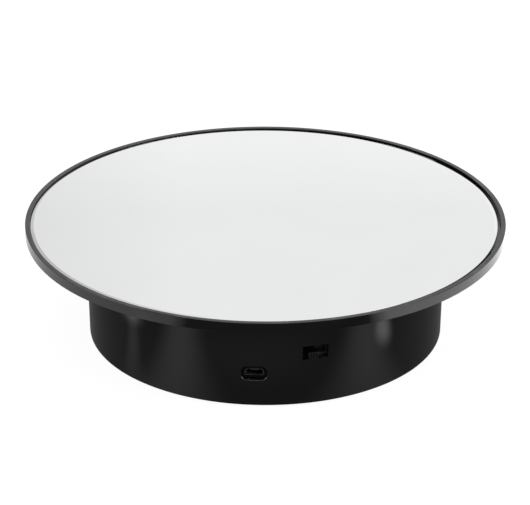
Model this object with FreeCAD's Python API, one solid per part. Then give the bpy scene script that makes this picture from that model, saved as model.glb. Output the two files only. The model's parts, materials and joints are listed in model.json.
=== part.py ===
"""Motorised turntable display stand: a mirror-topped platter that turns on a ball race above a round base.

Frame: origin on the surface the stand rests on, under the platter's axis. +Z is up, -Y is the side with
the charging socket. All sizes are in millimetres and angles in degrees.
"""
import FreeCAD
import Part
import math
import os

V = FreeCAD.Vector
UP = V(0, 0, 1)

# ---------------------------------------------------------------- driving dimensions
TOTAL_HEIGHT = 50.0
PLATTER_R = 100.0
SKIRT_HEIGHT = 4.3            # the platter's outer face
SKIRT_T = 2.6
LIP_WIDTH = 2.0
LIP_STAND = 0.4               # lip above the mirror
MIRROR_R = 97.2
MIRROR_SHIFT = V(-0.6, 0, 0)   # the glass sits a little off the middle of its recess
MIRROR_T = 1.5
TAPE_T = 0.35

FOOT_PROUD = 0.6              # rubber below the base
BASE_TOP_R = 75.0
BASE_BOTTOM_R = 74.2
BASE_TOP_Z = 44.3
WALL_T = 2.2
COVER_T = 2.2

BALL_R = 2.0
BALL_COUNT = 24
RACE_R = 61.0
RACE_PLAY = 0.05

SOCKET_Z = 15.0               # charging socket, on the -Y side
SWITCH_ANGLE = 19.05          # slide switch, turned from -Y towards +X
SWITCH_Z = 23.5
SWITCH_TRAVEL = 2.0

CELL_R = 7.25                 # AA cells, three side by side
CELL_LENGTH = 50.5
CELL_COUNT = 3

PRESSURE_ANGLE = math.radians(25.0)
ADDENDUM = 0.85
DEDENDUM = 1.12

# ---------------------------------------------------------------- levels and places worked out from them
PLATTER_UNDER = TOTAL_HEIGHT - SKIRT_HEIGHT
MIRROR_TOP = TOTAL_HEIGHT - LIP_STAND
MIRROR_UNDER = MIRROR_TOP - MIRROR_T
RECESS_FLOOR = MIRROR_UNDER - TAPE_T
LIP_INNER_R = PLATTER_R - LIP_WIDTH

BALL_Z = PLATTER_UNDER - RACE_PLAY - BALL_R
RACE_TOP = BALL_Z - 1.05
RACE_T = 2.4
WELL_R = 50.0
DECK_TOP = 38.4
DECK_UNDER = 36.0

COVER_UNDER = FOOT_PROUD
COVER_TOP = COVER_UNDER + COVER_T
COVER_R = 71.8
FOOT_R = 6.0
FOOT_PLACE_R = 62.0
FOOT_ANGLES = (45, 135, 225, 315)
COVER_SCREW_R = 64.0
COVER_SCREW_ANGLES = (25, 115, 245, 335)

SPINDLE_R = 4.0
SPINDLE_TOP = 45.05
BUSH_R = 6.0
HUB_R = 9.0
HUB_UNDER = 39.4
HUB_TOP = 45.0
HEAD_WELL_R = 7.5

# gear train: teeth and module of each pair, from the motor to the platter
MOTOR_TEETH, FIRST_TEETH = 10, 50
SMALL_TEETH, SECOND_TEETH = 10, 50
FINE_MODULE = 0.5
THIRD_SMALL_TEETH, OUTPUT_TEETH = 10, 48
MIDDLE_MODULE = 0.6
PINION_TEETH, DRIVE_TEETH = 12, 72
COARSE_MODULE = 0.8

CASE_FLOOR, CASE_FLOOR_TOP = 17.5, 19.5
LID_UNDER, LID_TOP = 34.0, DECK_UNDER
FIRST_LEVEL = (20.3, 22.8)
SECOND_LEVEL = (24.0, 26.5)
OUTPUT_LEVEL = (28.5, 32.5)
DRIVE_LEVEL = (41.0, PLATTER_UNDER)
AXLE_R = 1.0
OUTPUT_SHAFT_R = 2.0

MOTOR_R = 10.0
MOTOR_UNDER = 4.6
MOTOR_SHAFT_R = 1.0
MOTOR_SEAT_R = 7.6

# battery compartment
CELL_PITCH = 15.4
BAY_X0, BAY_X1 = -60.0, -13.4
BAY_Y = 29.5
BAY_WALL = 1.5
LEDGE_Z = 2.2
BAY_ROOF = 17.6
DOOR_T = 1.5
DOOR_LAP = 1.2                # how far the door lies over the ledge
DOOR_PLAY = 0.25
DOOR_SLIDE = 6.0
TONGUE_XS = (-52.0, -24.0)    # side tongues that lock the door in the cover
TONGUE_HALF = 2.5

# control board
BOARD_TOP, BOARD_T = SOCKET_Z - 1.35, 1.2
LEAD_CREST = BOARD_TOP + 2.9   # leads come down to the board from this height
BOARD_X = 13.0
BOARD_Y0, BOARD_Y1 = -70.4, -50.0
SOCKET_FACE_Y = -72.5
POCKET_FLOOR_Y = -72.4


# ---------------------------------------------------------------- shape helpers
def polar(radius, angle, z=0.0):
    """The point at that radius and angle from +X."""
    turn = math.radians(angle)
    return V(radius * math.cos(turn), radius * math.sin(turn), z)


def cyl(radius, z0, z1, at=V(0, 0, 0)):
    """Upright cylinder between two heights."""
    return Part.makeCylinder(radius, z1 - z0, V(at.x, at.y, z0), UP)


def tube(outer, inner, z0, z1, at=V(0, 0, 0)):
    """Upright ring between two heights."""
    return cyl(outer, z0, z1, at).cut(cyl(inner, z0 - 1, z1 + 1, at))


def box(x0, x1, y0, y1, z0, z1):
    """Block between two corners."""
    return Part.makeBox(x1 - x0, y1 - y0, z1 - z0, V(x0, y0, z0))


def revolve(profile):
    """Solid of revolution about Z from (radius, z) corners."""
    corners = [V(r, 0, z) for r, z in profile]
    face = Part.Face(Part.makePolygon(corners + corners[:1]))
    return face.revolve(V(0, 0, 0), UP, 360)


def fuse(shapes):
    """One solid from several that touch."""
    first, *rest = shapes
    return first.fuse(rest).removeSplitter() if rest else first


def prism(points, z0, z1):
    """Upright prism over a closed outline of (x, y) corners."""
    corners = [V(x, y, z0) for x, y in points]
    return Part.Face(Part.makePolygon(corners + corners[:1])).extrude(V(0, 0, z1 - z0))


def round_cornered_wire(half_x, half_z, corner):
    """Closed wire in the XZ plane about the origin, with four equal corner arcs."""
    edges = []
    turns = ((1, 1, 0), (-1, 1, 90), (-1, -1, 180), (1, -1, 270))
    ends = []
    for side_x, side_z, start in turns:
        centre = V(side_x * (half_x - corner), 0, side_z * (half_z - corner))
        points = []
        for angle in (start, start + 45, start + 90):
            turn = math.radians(angle)
            points.append(centre + V(corner * math.cos(turn), 0, corner * math.sin(turn)))
        edges.append(Part.Arc(*points).toShape())
        ends.append((points[0], points[2]))
    for k in range(4):
        edges.append(Part.LineSegment(ends[k][1], ends[(k + 1) % 4][0]).toShape())
    return Part.Wire(Part.__sortEdges__(edges))


def at_switch(shape):
    """Turns a shape built against the -Y wall round to the slide switch's place."""
    turned = shape.copy()
    turned.rotate(V(0, 0, 0), UP, SWITCH_ANGLE)
    return turned


def screw(head_r, head_h, shank_r, length, at, upwards=True):
    """Pan-head screw with a cross recess; at is where the head meets the piece that it clamps."""
    head = Part.makeCylinder(head_r, head_h, V(0, 0, -head_h), UP)
    crown = [e for e in head.Edges if abs(e.BoundBox.ZMax + head_h) < 1e-6 and e.Closed]
    head = head.makeFillet(head_h * 0.45, crown)
    slot_l, slot_w, slot_h = head_r * 1.1, head_r * 0.22, head_h * 0.55
    for turn in (0, 90):
        slot = Part.makeBox(slot_l, slot_w, slot_h, V(-slot_l / 2, -slot_w / 2, -head_h - 0.01))
        slot.rotate(V(0, 0, 0), UP, turn)
        head = head.cut(slot)
    whole = head.fuse(Part.makeCylinder(shank_r, length, V(0, 0, 0), UP))
    if not upwards:
        whole.rotate(V(0, 0, 0), V(1, 0, 0), 180)
    whole.translate(at)
    return whole


def bent_wire(points, radius):
    """Round wire along a route of straight runs joined by tangent arcs."""
    edges = []
    here = points[0]
    for before, corner, after in zip(points, points[1:], points[2:]):
        into, out = corner - before, after - corner
        reach = 0.45 * min(into.Length, out.Length)
        into.normalize()
        out.normalize()
        first, last = corner - into * reach, corner + out * reach
        inward = out - into
        inward.normalize()
        half_turn = into.getAngle(out) / 2
        arc_r = reach / math.tan(half_turn)
        middle = corner + inward * (arc_r / math.cos(half_turn) - arc_r)
        edges.append(Part.LineSegment(here, first).toShape())
        edges.append(Part.Arc(first, middle, last).toShape())
        here = last
    edges.append(Part.LineSegment(here, points[-1]).toShape())
    path = Part.Wire(edges)
    start_way = points[1] - points[0]
    section = Part.Wire(Part.makeCircle(radius, points[0], start_way))
    return path.makePipeShell([section], True, False)


# ---------------------------------------------------------------- gears
def involute(angle):
    return math.tan(angle) - angle


def gear_outline(teeth, module, phase, thinning):
    """Corners of an external spur gear; phase is a tooth's angle, thinning the play taken off each tooth."""
    pitch_r = module * teeth / 2
    base_r = pitch_r * math.cos(PRESSURE_ANGLE)
    tip_r = pitch_r + ADDENDUM * module
    root_r = pitch_r - DEDENDUM * module
    half_tooth = math.pi / (2 * teeth) - thinning / (2 * pitch_r)
    steps = 4
    start_r = max(base_r, root_r)
    flank = [(root_r, half_tooth + involute(PRESSURE_ANGLE))] if root_r < base_r else []
    for k in range(steps + 1):
        r = start_r + (tip_r - start_r) * k / steps
        roll = math.acos(min(1.0, base_r / r))
        flank.append((r, half_tooth + involute(PRESSURE_ANGLE) - involute(roll)))
    points = []
    for tooth in range(teeth):
        middle = phase + 2 * math.pi * tooth / teeth
        for r, half in flank:
            points.append((r * math.cos(middle - half), r * math.sin(middle - half)))
        for r, half in reversed(flank):
            points.append((r * math.cos(middle + half), r * math.sin(middle + half)))
    return points


def gear(teeth, module, centre, level, phase, thinning=0.07):
    points = gear_outline(teeth, module, phase, thinning)
    return prism([(x + centre.x, y + centre.y) for x, y in points], *level)


def meshing_phase(phase, teeth, centre, other_teeth, other_centre):
    """Phase of the other gear that puts one of its gaps where this gear has a tooth."""
    towards = math.atan2(other_centre.y - centre.y, other_centre.x - centre.x)
    share = (phase - towards) * teeth / (2 * math.pi)
    return towards + math.pi + (0.5 - share) * 2 * math.pi / other_teeth


def centre_distance(module, teeth, other_teeth):
    return module * (teeth + other_teeth) / 2


OUTPUT_AXIS = polar(centre_distance(COARSE_MODULE, PINION_TEETH, DRIVE_TEETH), 0)
SECOND_AXIS = OUTPUT_AXIS + polar(centre_distance(MIDDLE_MODULE, THIRD_SMALL_TEETH, OUTPUT_TEETH), 110)
FIRST_AXIS = SECOND_AXIS + polar(centre_distance(FINE_MODULE, SMALL_TEETH, SECOND_TEETH), 160)
MOTOR_AXIS = FIRST_AXIS + polar(centre_distance(FINE_MODULE, MOTOR_TEETH, FIRST_TEETH), 60)
CASE_SCREWS = (OUTPUT_AXIS + polar(18.6, -60), OUTPUT_AXIS + polar(18.6, 215),
               SECOND_AXIS + polar(17.0, 62), FIRST_AXIS + polar(16.8, 200))


def gear_train():
    """Every toothed piece, in mesh at rest."""
    motor_phase = 0.0
    first_phase = meshing_phase(motor_phase, MOTOR_TEETH, MOTOR_AXIS, FIRST_TEETH, FIRST_AXIS)
    second_phase = meshing_phase(0.0, SMALL_TEETH, FIRST_AXIS, SECOND_TEETH, SECOND_AXIS)
    output_phase = meshing_phase(0.0, THIRD_SMALL_TEETH, SECOND_AXIS, OUTPUT_TEETH, OUTPUT_AXIS)
    drive_phase = meshing_phase(0.0, PINION_TEETH, OUTPUT_AXIS, DRIVE_TEETH, V(0, 0, 0))
    play = 0.03

    pinion = gear(MOTOR_TEETH, FINE_MODULE, MOTOR_AXIS, (20.0, 23.1), motor_phase, 0.05)
    pinion = pinion.cut(cyl(MOTOR_SHAFT_R, 19, 24, MOTOR_AXIS))

    first = fuse([
        gear(FIRST_TEETH, FINE_MODULE, FIRST_AXIS, FIRST_LEVEL, first_phase, 0.05),
        cyl(2.6, FIRST_LEVEL[1], 23.3, FIRST_AXIS),
        gear(SMALL_TEETH, FINE_MODULE, FIRST_AXIS, (23.3, 27.0), 0.0, 0.05)])
    first = first.cut(tube(10.2, 4.2, FIRST_LEVEL[1] - 0.7, FIRST_LEVEL[1] + 0.1, FIRST_AXIS))
    first = first.cut(cyl(AXLE_R + play, 19, 34, FIRST_AXIS))

    second = fuse([
        cyl(1.9, 20.3, SECOND_LEVEL[0], SECOND_AXIS),
        gear(SECOND_TEETH, FINE_MODULE, SECOND_AXIS, SECOND_LEVEL, second_phase, 0.05),
        cyl(3.0, SECOND_LEVEL[1], 27.0, SECOND_AXIS),
        gear(THIRD_SMALL_TEETH, MIDDLE_MODULE, SECOND_AXIS, (27.0, 33.2), 0.0, 0.06)])
    second = second.cut(tube(10.2, 4.6, SECOND_LEVEL[1] - 0.7, SECOND_LEVEL[1] + 0.1, SECOND_AXIS))
    second = second.cut(cyl(AXLE_R + play, 19, 34, SECOND_AXIS))

    output = fuse([
        gear(OUTPUT_TEETH, MIDDLE_MODULE, OUTPUT_AXIS, OUTPUT_LEVEL, output_phase, 0.06),
        cyl(4.1, OUTPUT_LEVEL[0] - 3.8, OUTPUT_LEVEL[0], OUTPUT_AXIS)])
    output = output.cut(tube(12.4, 5.4, OUTPUT_LEVEL[1] - 1.2, OUTPUT_LEVEL[1] + 0.1, OUTPUT_AXIS))
    output = output.cut(cyl(OUTPUT_SHAFT_R, 20, 40, OUTPUT_AXIS))

    drive_pinion = gear(PINION_TEETH, COARSE_MODULE, OUTPUT_AXIS, (40.6, 45.3), 0.0, 0.08)
    drive_pinion = drive_pinion.fuse(cyl(3.6, 39.7, 40.6, OUTPUT_AXIS))
    drive_pinion = drive_pinion.cut(cyl(OUTPUT_SHAFT_R, 39, 46, OUTPUT_AXIS))

    drive = gear(DRIVE_TEETH, COARSE_MODULE, V(0, 0, 0), DRIVE_LEVEL, drive_phase, 0.08)
    drive = drive.cut(cyl(HUB_R + 0.1, 40, 46))
    drive = drive.cut(tube(25.6, 20.0, 40, DRIVE_LEVEL[0] + 2.2))
    for angle in DRIVE_SCREW_ANGLES:
        place = polar(DRIVE_SCREW_R, angle)
        drive = drive.cut(cyl(1.3, 40, 46, place)).cut(cyl(2.9, 40, DRIVE_LEVEL[0] + 1.9, place))
    return {
        "motor_pinion": pinion, "first_reduction_gear": first, "second_reduction_gear": second,
        "output_gear": output, "output_pinion": drive_pinion, "platter_drive_gear": drive}


DRIVE_SCREW_R = 14.6
DRIVE_SCREW_ANGLES = (30, 150, 270)


# ---------------------------------------------------------------- platter
def platter_disc():
    """Moulded tray with a raised lip, a stepped underside and a hub that carries the bush."""
    edge = 0.25
    tray = revolve([
        (0, PLATTER_UNDER), (PLATTER_R - edge, PLATTER_UNDER), (PLATTER_R, PLATTER_UNDER + edge),
        (PLATTER_R, TOTAL_HEIGHT - edge), (PLATTER_R - edge, TOTAL_HEIGHT),
        (LIP_INNER_R + 0.2, TOTAL_HEIGHT), (LIP_INNER_R, TOTAL_HEIGHT - 0.2),
        (LIP_INNER_R, RECESS_FLOOR), (0, RECESS_FLOOR)])
    tray = tray.fuse(cyl(HUB_R, HUB_UNDER, PLATTER_UNDER))
    tray = tray.cut(tube(PLATTER_R - SKIRT_T, BASE_TOP_R + 3.0, PLATTER_UNDER - 1, PLATTER_UNDER + 0.35))
    tray = tray.cut(cyl(BUSH_R, HUB_UNDER - 1, HUB_TOP))
    tray = tray.cut(cyl(BUSH_R - 1.2, HUB_TOP - 1, RECESS_FLOOR + 1))
    tray = tray.cut(cyl(HEAD_WELL_R, HUB_TOP, RECESS_FLOOR + 1))
    ribs = []
    for k in range(RIB_COUNT):
        rib = box(40.5, 55.0, -0.7, 0.7, PLATTER_UNDER - 1.4, PLATTER_UNDER)
        rib.rotate(V(0, 0, 0), UP, k * 360 / RIB_COUNT + 15)
        ribs.append(rib)
    tray = tray.fuse(ribs)
    for angle in DRIVE_SCREW_ANGLES:
        tray = tray.cut(cyl(1.1, PLATTER_UNDER - 1, RECESS_FLOOR - 0.4, polar(DRIVE_SCREW_R, angle)))
    return tray


RIB_COUNT = 12


def mirror_plate():
    """Round mirror glass with a ground bevel round its top edge."""
    bevel = 1.3
    glass = revolve([
        (0, MIRROR_UNDER), (MIRROR_R, MIRROR_UNDER), (MIRROR_R, MIRROR_TOP - 0.28),
        (MIRROR_R - bevel, MIRROR_TOP), (0, MIRROR_TOP)])
    glass.translate(MIRROR_SHIFT)
    return glass


def mirror_tape():
    """Two foam tape rings that hold the mirror in the tray."""
    rings = [tube(92.0, 84.0, RECESS_FLOOR, MIRROR_UNDER), tube(46.0, 30.0, RECESS_FLOOR, MIRROR_UNDER)]
    return Part.makeCompound(rings)


def spindle_bush():
    return tube(BUSH_R, SPINDLE_R + 0.04, HUB_UNDER, HUB_TOP)


def drive_gear_screws():
    z = DRIVE_LEVEL[0] + 1.9
    return Part.makeCompound([
        screw(2.6, 1.5, 1.1, RECESS_FLOOR - 0.4 - z, polar(DRIVE_SCREW_R, a, z)) for a in DRIVE_SCREW_ANGLES])


# ---------------------------------------------------------------- ball race
def ball_places():
    return [polar(RACE_R, k * 360 / BALL_COUNT, BALL_Z) for k in range(BALL_COUNT)]


def bearing_balls():
    return Part.makeCompound([Part.makeSphere(BALL_R, p) for p in ball_places()])


def ball_cage():
    """Flat ring with a pocket for each ball."""
    cage = tube(RACE_R + 4.0, RACE_R - 4.0, BALL_Z - 0.9, BALL_Z + 0.9)
    return cage.cut([Part.makeSphere(BALL_R + 0.12, p) for p in ball_places()])


# ---------------------------------------------------------------- base
def base_radius(z):
    """Outer radius of the tapered base at a height."""
    share = (z - COVER_UNDER) / (BASE_TOP_Z - COVER_UNDER)
    return BASE_BOTTOM_R + (BASE_TOP_R - BASE_BOTTOM_R) * share


def base_shell():
    """Tapered wall, race ring, sunk deck, spindle boss and screw posts in one moulding."""
    edge = 0.8
    race_under = RACE_TOP - RACE_T
    step_t = 2.0
    body = revolve([
        (SPINDLE_R, 38.9), (7.0, 38.9), (7.0, DECK_TOP), (WELL_R - step_t, DECK_TOP),
        (WELL_R - step_t, RACE_TOP), (BASE_TOP_R - WALL_T, RACE_TOP),
        (BASE_TOP_R - WALL_T, BASE_TOP_Z), (BASE_TOP_R - edge, BASE_TOP_Z),
        (BASE_TOP_R - 0.24, BASE_TOP_Z - 0.24), (BASE_TOP_R, BASE_TOP_Z - edge),
        (BASE_BOTTOM_R, COVER_UNDER + 0.4), (BASE_BOTTOM_R - 0.4, COVER_UNDER),
        (BASE_BOTTOM_R - WALL_T, COVER_UNDER),
        (base_radius(race_under) - WALL_T, race_under), (WELL_R, race_under),
        (WELL_R, DECK_UNDER), (7.0, DECK_UNDER), (7.0, 24.0), (SPINDLE_R, 24.0)])
    body = body.cut(Part.makeTorus(RACE_R, BALL_R + 0.1, V(0, 0, BALL_Z), UP))
    added = []
    for angle in COVER_SCREW_ANGLES:
        added.append(cyl(3.6, COVER_TOP, race_under, polar(COVER_SCREW_R, angle)))
        web = box(COVER_SCREW_R, BASE_BOTTOM_R - 1.0, -0.8, 0.8, COVER_TOP + 4, race_under)
        web.rotate(V(0, 0, 0), UP, angle)
        added.append(web)
    for place in CASE_SCREWS:
        added.append(cyl(3.4, DECK_UNDER, DECK_TOP + 1.8, place))
    added.append(at_switch(switch_posts()))
    added.append(box(-7.6, 7.6, -73.4, -71.2, SOCKET_Z - 4.6, SOCKET_Z + 4.6))
    body = body.fuse(added)
    holes = [cyl(1.2, COVER_TOP - 1, COVER_TOP + 12, polar(COVER_SCREW_R, a)) for a in COVER_SCREW_ANGLES]
    holes += [cyl(1.1, DECK_UNDER - 1, DECK_TOP + 1.2, place) for place in CASE_SCREWS]
    holes.append(cyl(5.2, DECK_UNDER - 1, DECK_TOP + 1, OUTPUT_AXIS))
    holes.append(socket_pocket())
    holes.append(socket_prism(0.2, -75.0, -70.0))
    holes.append(at_switch(switch_window()))
    holes.append(at_switch(switch_post_holes()))
    return body.cut(holes)


def socket_pocket():
    """Round-cornered pocket in the wall that takes the charging plug's grip."""
    solid = Part.Face(round_cornered_wire(5.6, 3.1, 2.6)).extrude(V(0, POCKET_FLOOR_Y + 80, 0))
    solid.translate(V(0, -80, SOCKET_Z))
    return solid


SWITCH_SHIFT = -1.2           # the switch sits off the middle of its window
SWITCH_BODY_Y = -71.4         # front face of the switch, before it is turned into place
SWITCH_KNOB_Z = SWITCH_Z - 1.0


def switch_window():
    return box(-5.35, 5.35, -80, -68, SWITCH_Z - 2.9, SWITCH_Z + 2.9)


SWITCH_POST_X = 10.2


def switch_posts():
    """Two posts inside the wall that take the clamp's screws."""
    posts = []
    for x in (SWITCH_SHIFT - SWITCH_POST_X, SWITCH_SHIFT + SWITCH_POST_X):
        posts.append(box(x - 2.4, x + 2.4, -72.3, -65.0, SWITCH_KNOB_Z - 3.0, SWITCH_KNOB_Z + 3.0))
    return Part.makeCompound(posts)


def switch_post_holes():
    holes = []
    for x in (SWITCH_SHIFT - SWITCH_POST_X, SWITCH_SHIFT + SWITCH_POST_X):
        holes.append(Part.makeCylinder(0.9, 5.0, V(x, -64.9, SWITCH_KNOB_Z), V(0, -1, 0)))
    return Part.makeCompound(holes)


def bottom_cover():
    """Round plate with the battery compartment, board posts, foot seats and screw seats."""
    plate = cyl(COVER_R, COVER_UNDER, COVER_TOP)
    outer = box(BAY_X0 - BAY_WALL, BAY_X1 + BAY_WALL, -BAY_Y - BAY_WALL, BAY_Y + BAY_WALL,
                COVER_UNDER, BAY_ROOF + BAY_WALL)
    posts = [cyl(2.8, COVER_TOP, BOARD_TOP - BOARD_T, p) for p in board_post_places()]
    body = plate.fuse([outer] + posts)
    body = body.cut(box(BAY_X0, BAY_X1, -BAY_Y, BAY_Y, COVER_UNDER - 1, BAY_ROOF))
    body = body.cut(door_room())
    ribs = []
    for k in range(1, CELL_COUNT):
        x = BAY_X0 + (BAY_X1 - BAY_X0) * k / CELL_COUNT
        ribs.append(box(x - 0.6, x + 0.6, -BAY_Y + 0.01, BAY_Y - 0.01, BAY_ROOF - 3.0, BAY_ROOF))
    body = body.fuse(ribs)
    cuts = [cyl(1.7, COVER_UNDER - 1, COVER_TOP + 1, polar(COVER_SCREW_R, a)) for a in COVER_SCREW_ANGLES]
    cuts += [cyl(3.2, COVER_UNDER - 1, COVER_UNDER + 1.2, polar(COVER_SCREW_R, a))
             for a in COVER_SCREW_ANGLES]
    cuts += [cyl(FOOT_R + 0.1, COVER_UNDER - 1, COVER_UNDER + 1.0, polar(FOOT_PLACE_R, a))
             for a in FOOT_ANGLES]
    cuts += [cyl(0.9, COVER_TOP + 1, BOARD_TOP, p) for p in board_post_places()]
    for x, side in LEAD_HOLES:
        cuts.append(Part.makeCylinder(1.0, 3.0, V(x, side * (BAY_Y - 0.5), LEAD_HOLE_Z), V(0, side, 0)))
    return body.cut(cuts)


DOOR_X0, DOOR_X1 = BAY_X0 - DOOR_LAP, BAY_X1 + DOOR_LAP
DOOR_Y = BAY_Y + DOOR_LAP
LEAD_HOLES = ((BAY_X0 + 7.77, -1), (BAY_X1 - 7.77, 1))
LEAD_HOLE_Z = 10.0


def door_room():
    """Recess that the door lies in, long enough for it to slide, with a groove for each side tongue."""
    room = [box(DOOR_X0 - DOOR_PLAY, DOOR_X1 + DOOR_PLAY + DOOR_SLIDE, -DOOR_Y - DOOR_PLAY,
                DOOR_Y + DOOR_PLAY, COVER_UNDER - 1, LEDGE_Z)]
    for side in (-1, 1):
        y0, y1 = sorted((side * DOOR_Y, side * (DOOR_Y + DOOR_LAP + DOOR_PLAY)))
        for x in TONGUE_XS:
            free_x = x + DOOR_SLIDE
            reach = TONGUE_HALF + DOOR_PLAY
            room.append(box(x - reach, free_x + reach, y0, y1, COVER_UNDER + 0.6, LEDGE_Z))
            room.append(box(free_x - reach, free_x + reach, y0, y1, COVER_UNDER - 1, LEDGE_Z))
    return room


def board_post_places():
    return [V(x, y, 0) for x in (-9.0, 9.0) for y in (-64.5, -54.0)]


def battery_door():
    """Flat sliding lid with a tongue at each corner of its sides and ridges for the thumb."""
    top = COVER_UNDER + DOOR_T
    lid = box(DOOR_X0, DOOR_X1, -DOOR_Y, DOOR_Y, COVER_UNDER, top)
    tongues = []
    for side in (-1, 1):
        y0, y1 = sorted((side * (DOOR_Y - 0.5), side * (DOOR_Y + DOOR_LAP)))
        tongues += [box(x - TONGUE_HALF, x + TONGUE_HALF, y0, y1, COVER_UNDER + 0.75, top) for x in TONGUE_XS]
    lid = lid.fuse(tongues)
    grooves = [box(DOOR_X0 + 5.0 + 2.0 * k, DOOR_X0 + 6.0 + 2.0 * k, -9.0, 9.0, COVER_UNDER - 1,
                   COVER_UNDER + 0.4) for k in range(6)]
    return lid.cut(grooves)


def rubber_foot(angle):
    """Round pad with a softened lower edge."""
    pad = cyl(FOOT_R, 0, COVER_UNDER + 1.0, polar(FOOT_PLACE_R, angle))
    lower = [e for e in pad.Edges if e.Closed and e.BoundBox.ZMax < 0.01]
    return pad.makeChamfer(0.3, lower)


def cover_screws():
    z = COVER_UNDER + 1.2
    return Part.makeCompound([screw(2.8, 1.1, 1.2, 10.0, polar(COVER_SCREW_R, a, z))
                              for a in COVER_SCREW_ANGLES])


# ---------------------------------------------------------------- spindle
def spindle_post():
    """Steel post pressed into the deck's boss, tapped for the retaining screw."""
    post = cyl(SPINDLE_R, 24.0, SPINDLE_TOP)
    ring = [e for e in post.Edges if e.Closed and e.BoundBox.ZMax < 24.01]
    post = post.makeChamfer(0.5, ring)
    return post.cut(cyl(1.5, SPINDLE_TOP - 9.0, SPINDLE_TOP + 1))


def retaining_washer():
    return tube(BUSH_R + 0.6, 1.6, SPINDLE_TOP, SPINDLE_TOP + 0.6)


def retaining_screw():
    return screw(3.0, 1.5, 1.5, 8.6, V(0, 0, SPINDLE_TOP + 0.6), upwards=False)


# ---------------------------------------------------------------- gearbox and motor
def case_rooms(extra):
    """Plan of the gearbox as one disc per gear, grown by extra."""
    tip = ADDENDUM * FINE_MODULE
    fine_r = FINE_MODULE * FIRST_TEETH / 2 + tip
    output_r = MIDDLE_MODULE * OUTPUT_TEETH / 2 + ADDENDUM * MIDDLE_MODULE
    return [(FIRST_AXIS, fine_r + extra), (SECOND_AXIS, fine_r + extra),
            (OUTPUT_AXIS, output_r + extra), (MOTOR_AXIS, MOTOR_SEAT_R + extra)]


def gearbox_case():
    """Open tub whose wall follows the gears, with the motor seat under its floor."""
    room, wall = 0.8, 1.7
    outer = [cyl(r, CASE_FLOOR, LID_UNDER, at) for at, r in case_rooms(room + wall)]
    outer += [cyl(3.4, CASE_FLOOR, LID_UNDER, place) for place in CASE_SCREWS]
    body = fuse(outer)
    body = body.cut(fuse([cyl(r, CASE_FLOOR_TOP, LID_UNDER + 1, at) for at, r in case_rooms(room)]))
    body = body.fuse([cyl(3.4, CASE_FLOOR, LID_UNDER, place) for place in CASE_SCREWS])
    body = body.fuse([cyl(2.2, CASE_FLOOR, 20.1, at) for at in (FIRST_AXIS, SECOND_AXIS)])
    body = body.fuse(cyl(5.4, CASE_FLOOR, 23.6, OUTPUT_AXIS))
    cuts = [cyl(1.3, CASE_FLOOR - 1, LID_UNDER + 1, place) for place in CASE_SCREWS]
    cuts += [cyl(AXLE_R, 18.2, 21, at) for at in (FIRST_AXIS, SECOND_AXIS)]
    cuts.append(cyl(3.4, 18.2, 24, OUTPUT_AXIS))
    cuts.append(cyl(3.1, CASE_FLOOR - 1, CASE_FLOOR_TOP + 1, MOTOR_AXIS))
    cuts += [cyl(1.1, CASE_FLOOR - 1, CASE_FLOOR_TOP + 1, p) for p in motor_screw_places()]
    return body.cut(cuts)


def gearbox_lid():
    outer = [cyl(r, LID_UNDER, LID_TOP, at) for at, r in case_rooms(2.5)]
    outer += [cyl(3.4, LID_UNDER, LID_TOP, place) for place in CASE_SCREWS]
    outer.append(cyl(2.6, 27.3, LID_UNDER, FIRST_AXIS))
    outer.append(cyl(2.6, 33.5, LID_UNDER, SECOND_AXIS))
    body = fuse(outer)
    cuts = [cyl(1.3, LID_UNDER - 1, LID_TOP + 1, place) for place in CASE_SCREWS]
    cuts += [cyl(AXLE_R, 27.0, LID_UNDER + 1.2, at) for at in (FIRST_AXIS, SECOND_AXIS)]
    cuts.append(cyl(3.4, LID_UNDER - 1, LID_TOP + 1, OUTPUT_AXIS))
    return body.cut(cuts)


def gearbox_screws():
    return Part.makeCompound([screw(2.5, 1.6, 1.1, DECK_TOP + 1.2 - CASE_FLOOR, V(p.x, p.y, CASE_FLOOR))
                              for p in CASE_SCREWS])


def gear_axle(at):
    return cyl(AXLE_R, 18.2, LID_UNDER + 1.2, at)


def output_bush(z0, z1, flange_z):
    """Flanged sleeve that carries the output shaft."""
    body = cyl(3.4, z0, z1, OUTPUT_AXIS).fuse(cyl(4.2, flange_z, flange_z + 0.8, OUTPUT_AXIS))
    return body.cut(cyl(OUTPUT_SHAFT_R + 0.04, z0 - 1, z1 + 1, OUTPUT_AXIS))


def output_shaft():
    shaft = cyl(OUTPUT_SHAFT_R, 18.4, 45.3, OUTPUT_AXIS)
    ends = [e for e in shaft.Edges if e.Closed and (e.BoundBox.ZMax < 18.41 or e.BoundBox.ZMin > 45.29)]
    return shaft.makeChamfer(0.3, ends)


def motor_screw_places():
    return [MOTOR_AXIS + polar(6.0, angle) for angle in (-30, 150)]


def motor_can():
    """Drawn steel cup, open below, with a bearing collar round the shaft."""
    can = cyl(MOTOR_R, MOTOR_UNDER + 1.6, CASE_FLOOR, MOTOR_AXIS)
    shoulder = [e for e in can.Edges if e.Closed and e.BoundBox.ZMin > CASE_FLOOR - 0.01]
    can = can.makeFillet(0.8, shoulder)
    can = can.cut(cyl(MOTOR_R - 0.7, MOTOR_UNDER, CASE_FLOOR - 0.8, MOTOR_AXIS))
    can = can.fuse(tube(3.05, 1.0, CASE_FLOOR - 1.6, CASE_FLOOR + 1.4, MOTOR_AXIS))
    can = can.cut([cyl(0.8, CASE_FLOOR - 2, CASE_FLOOR + 1, p) for p in motor_screw_places()])
    return can.cut(cyl(MOTOR_SHAFT_R + 0.04, MOTOR_UNDER, CASE_FLOOR + 3, MOTOR_AXIS))


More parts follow.
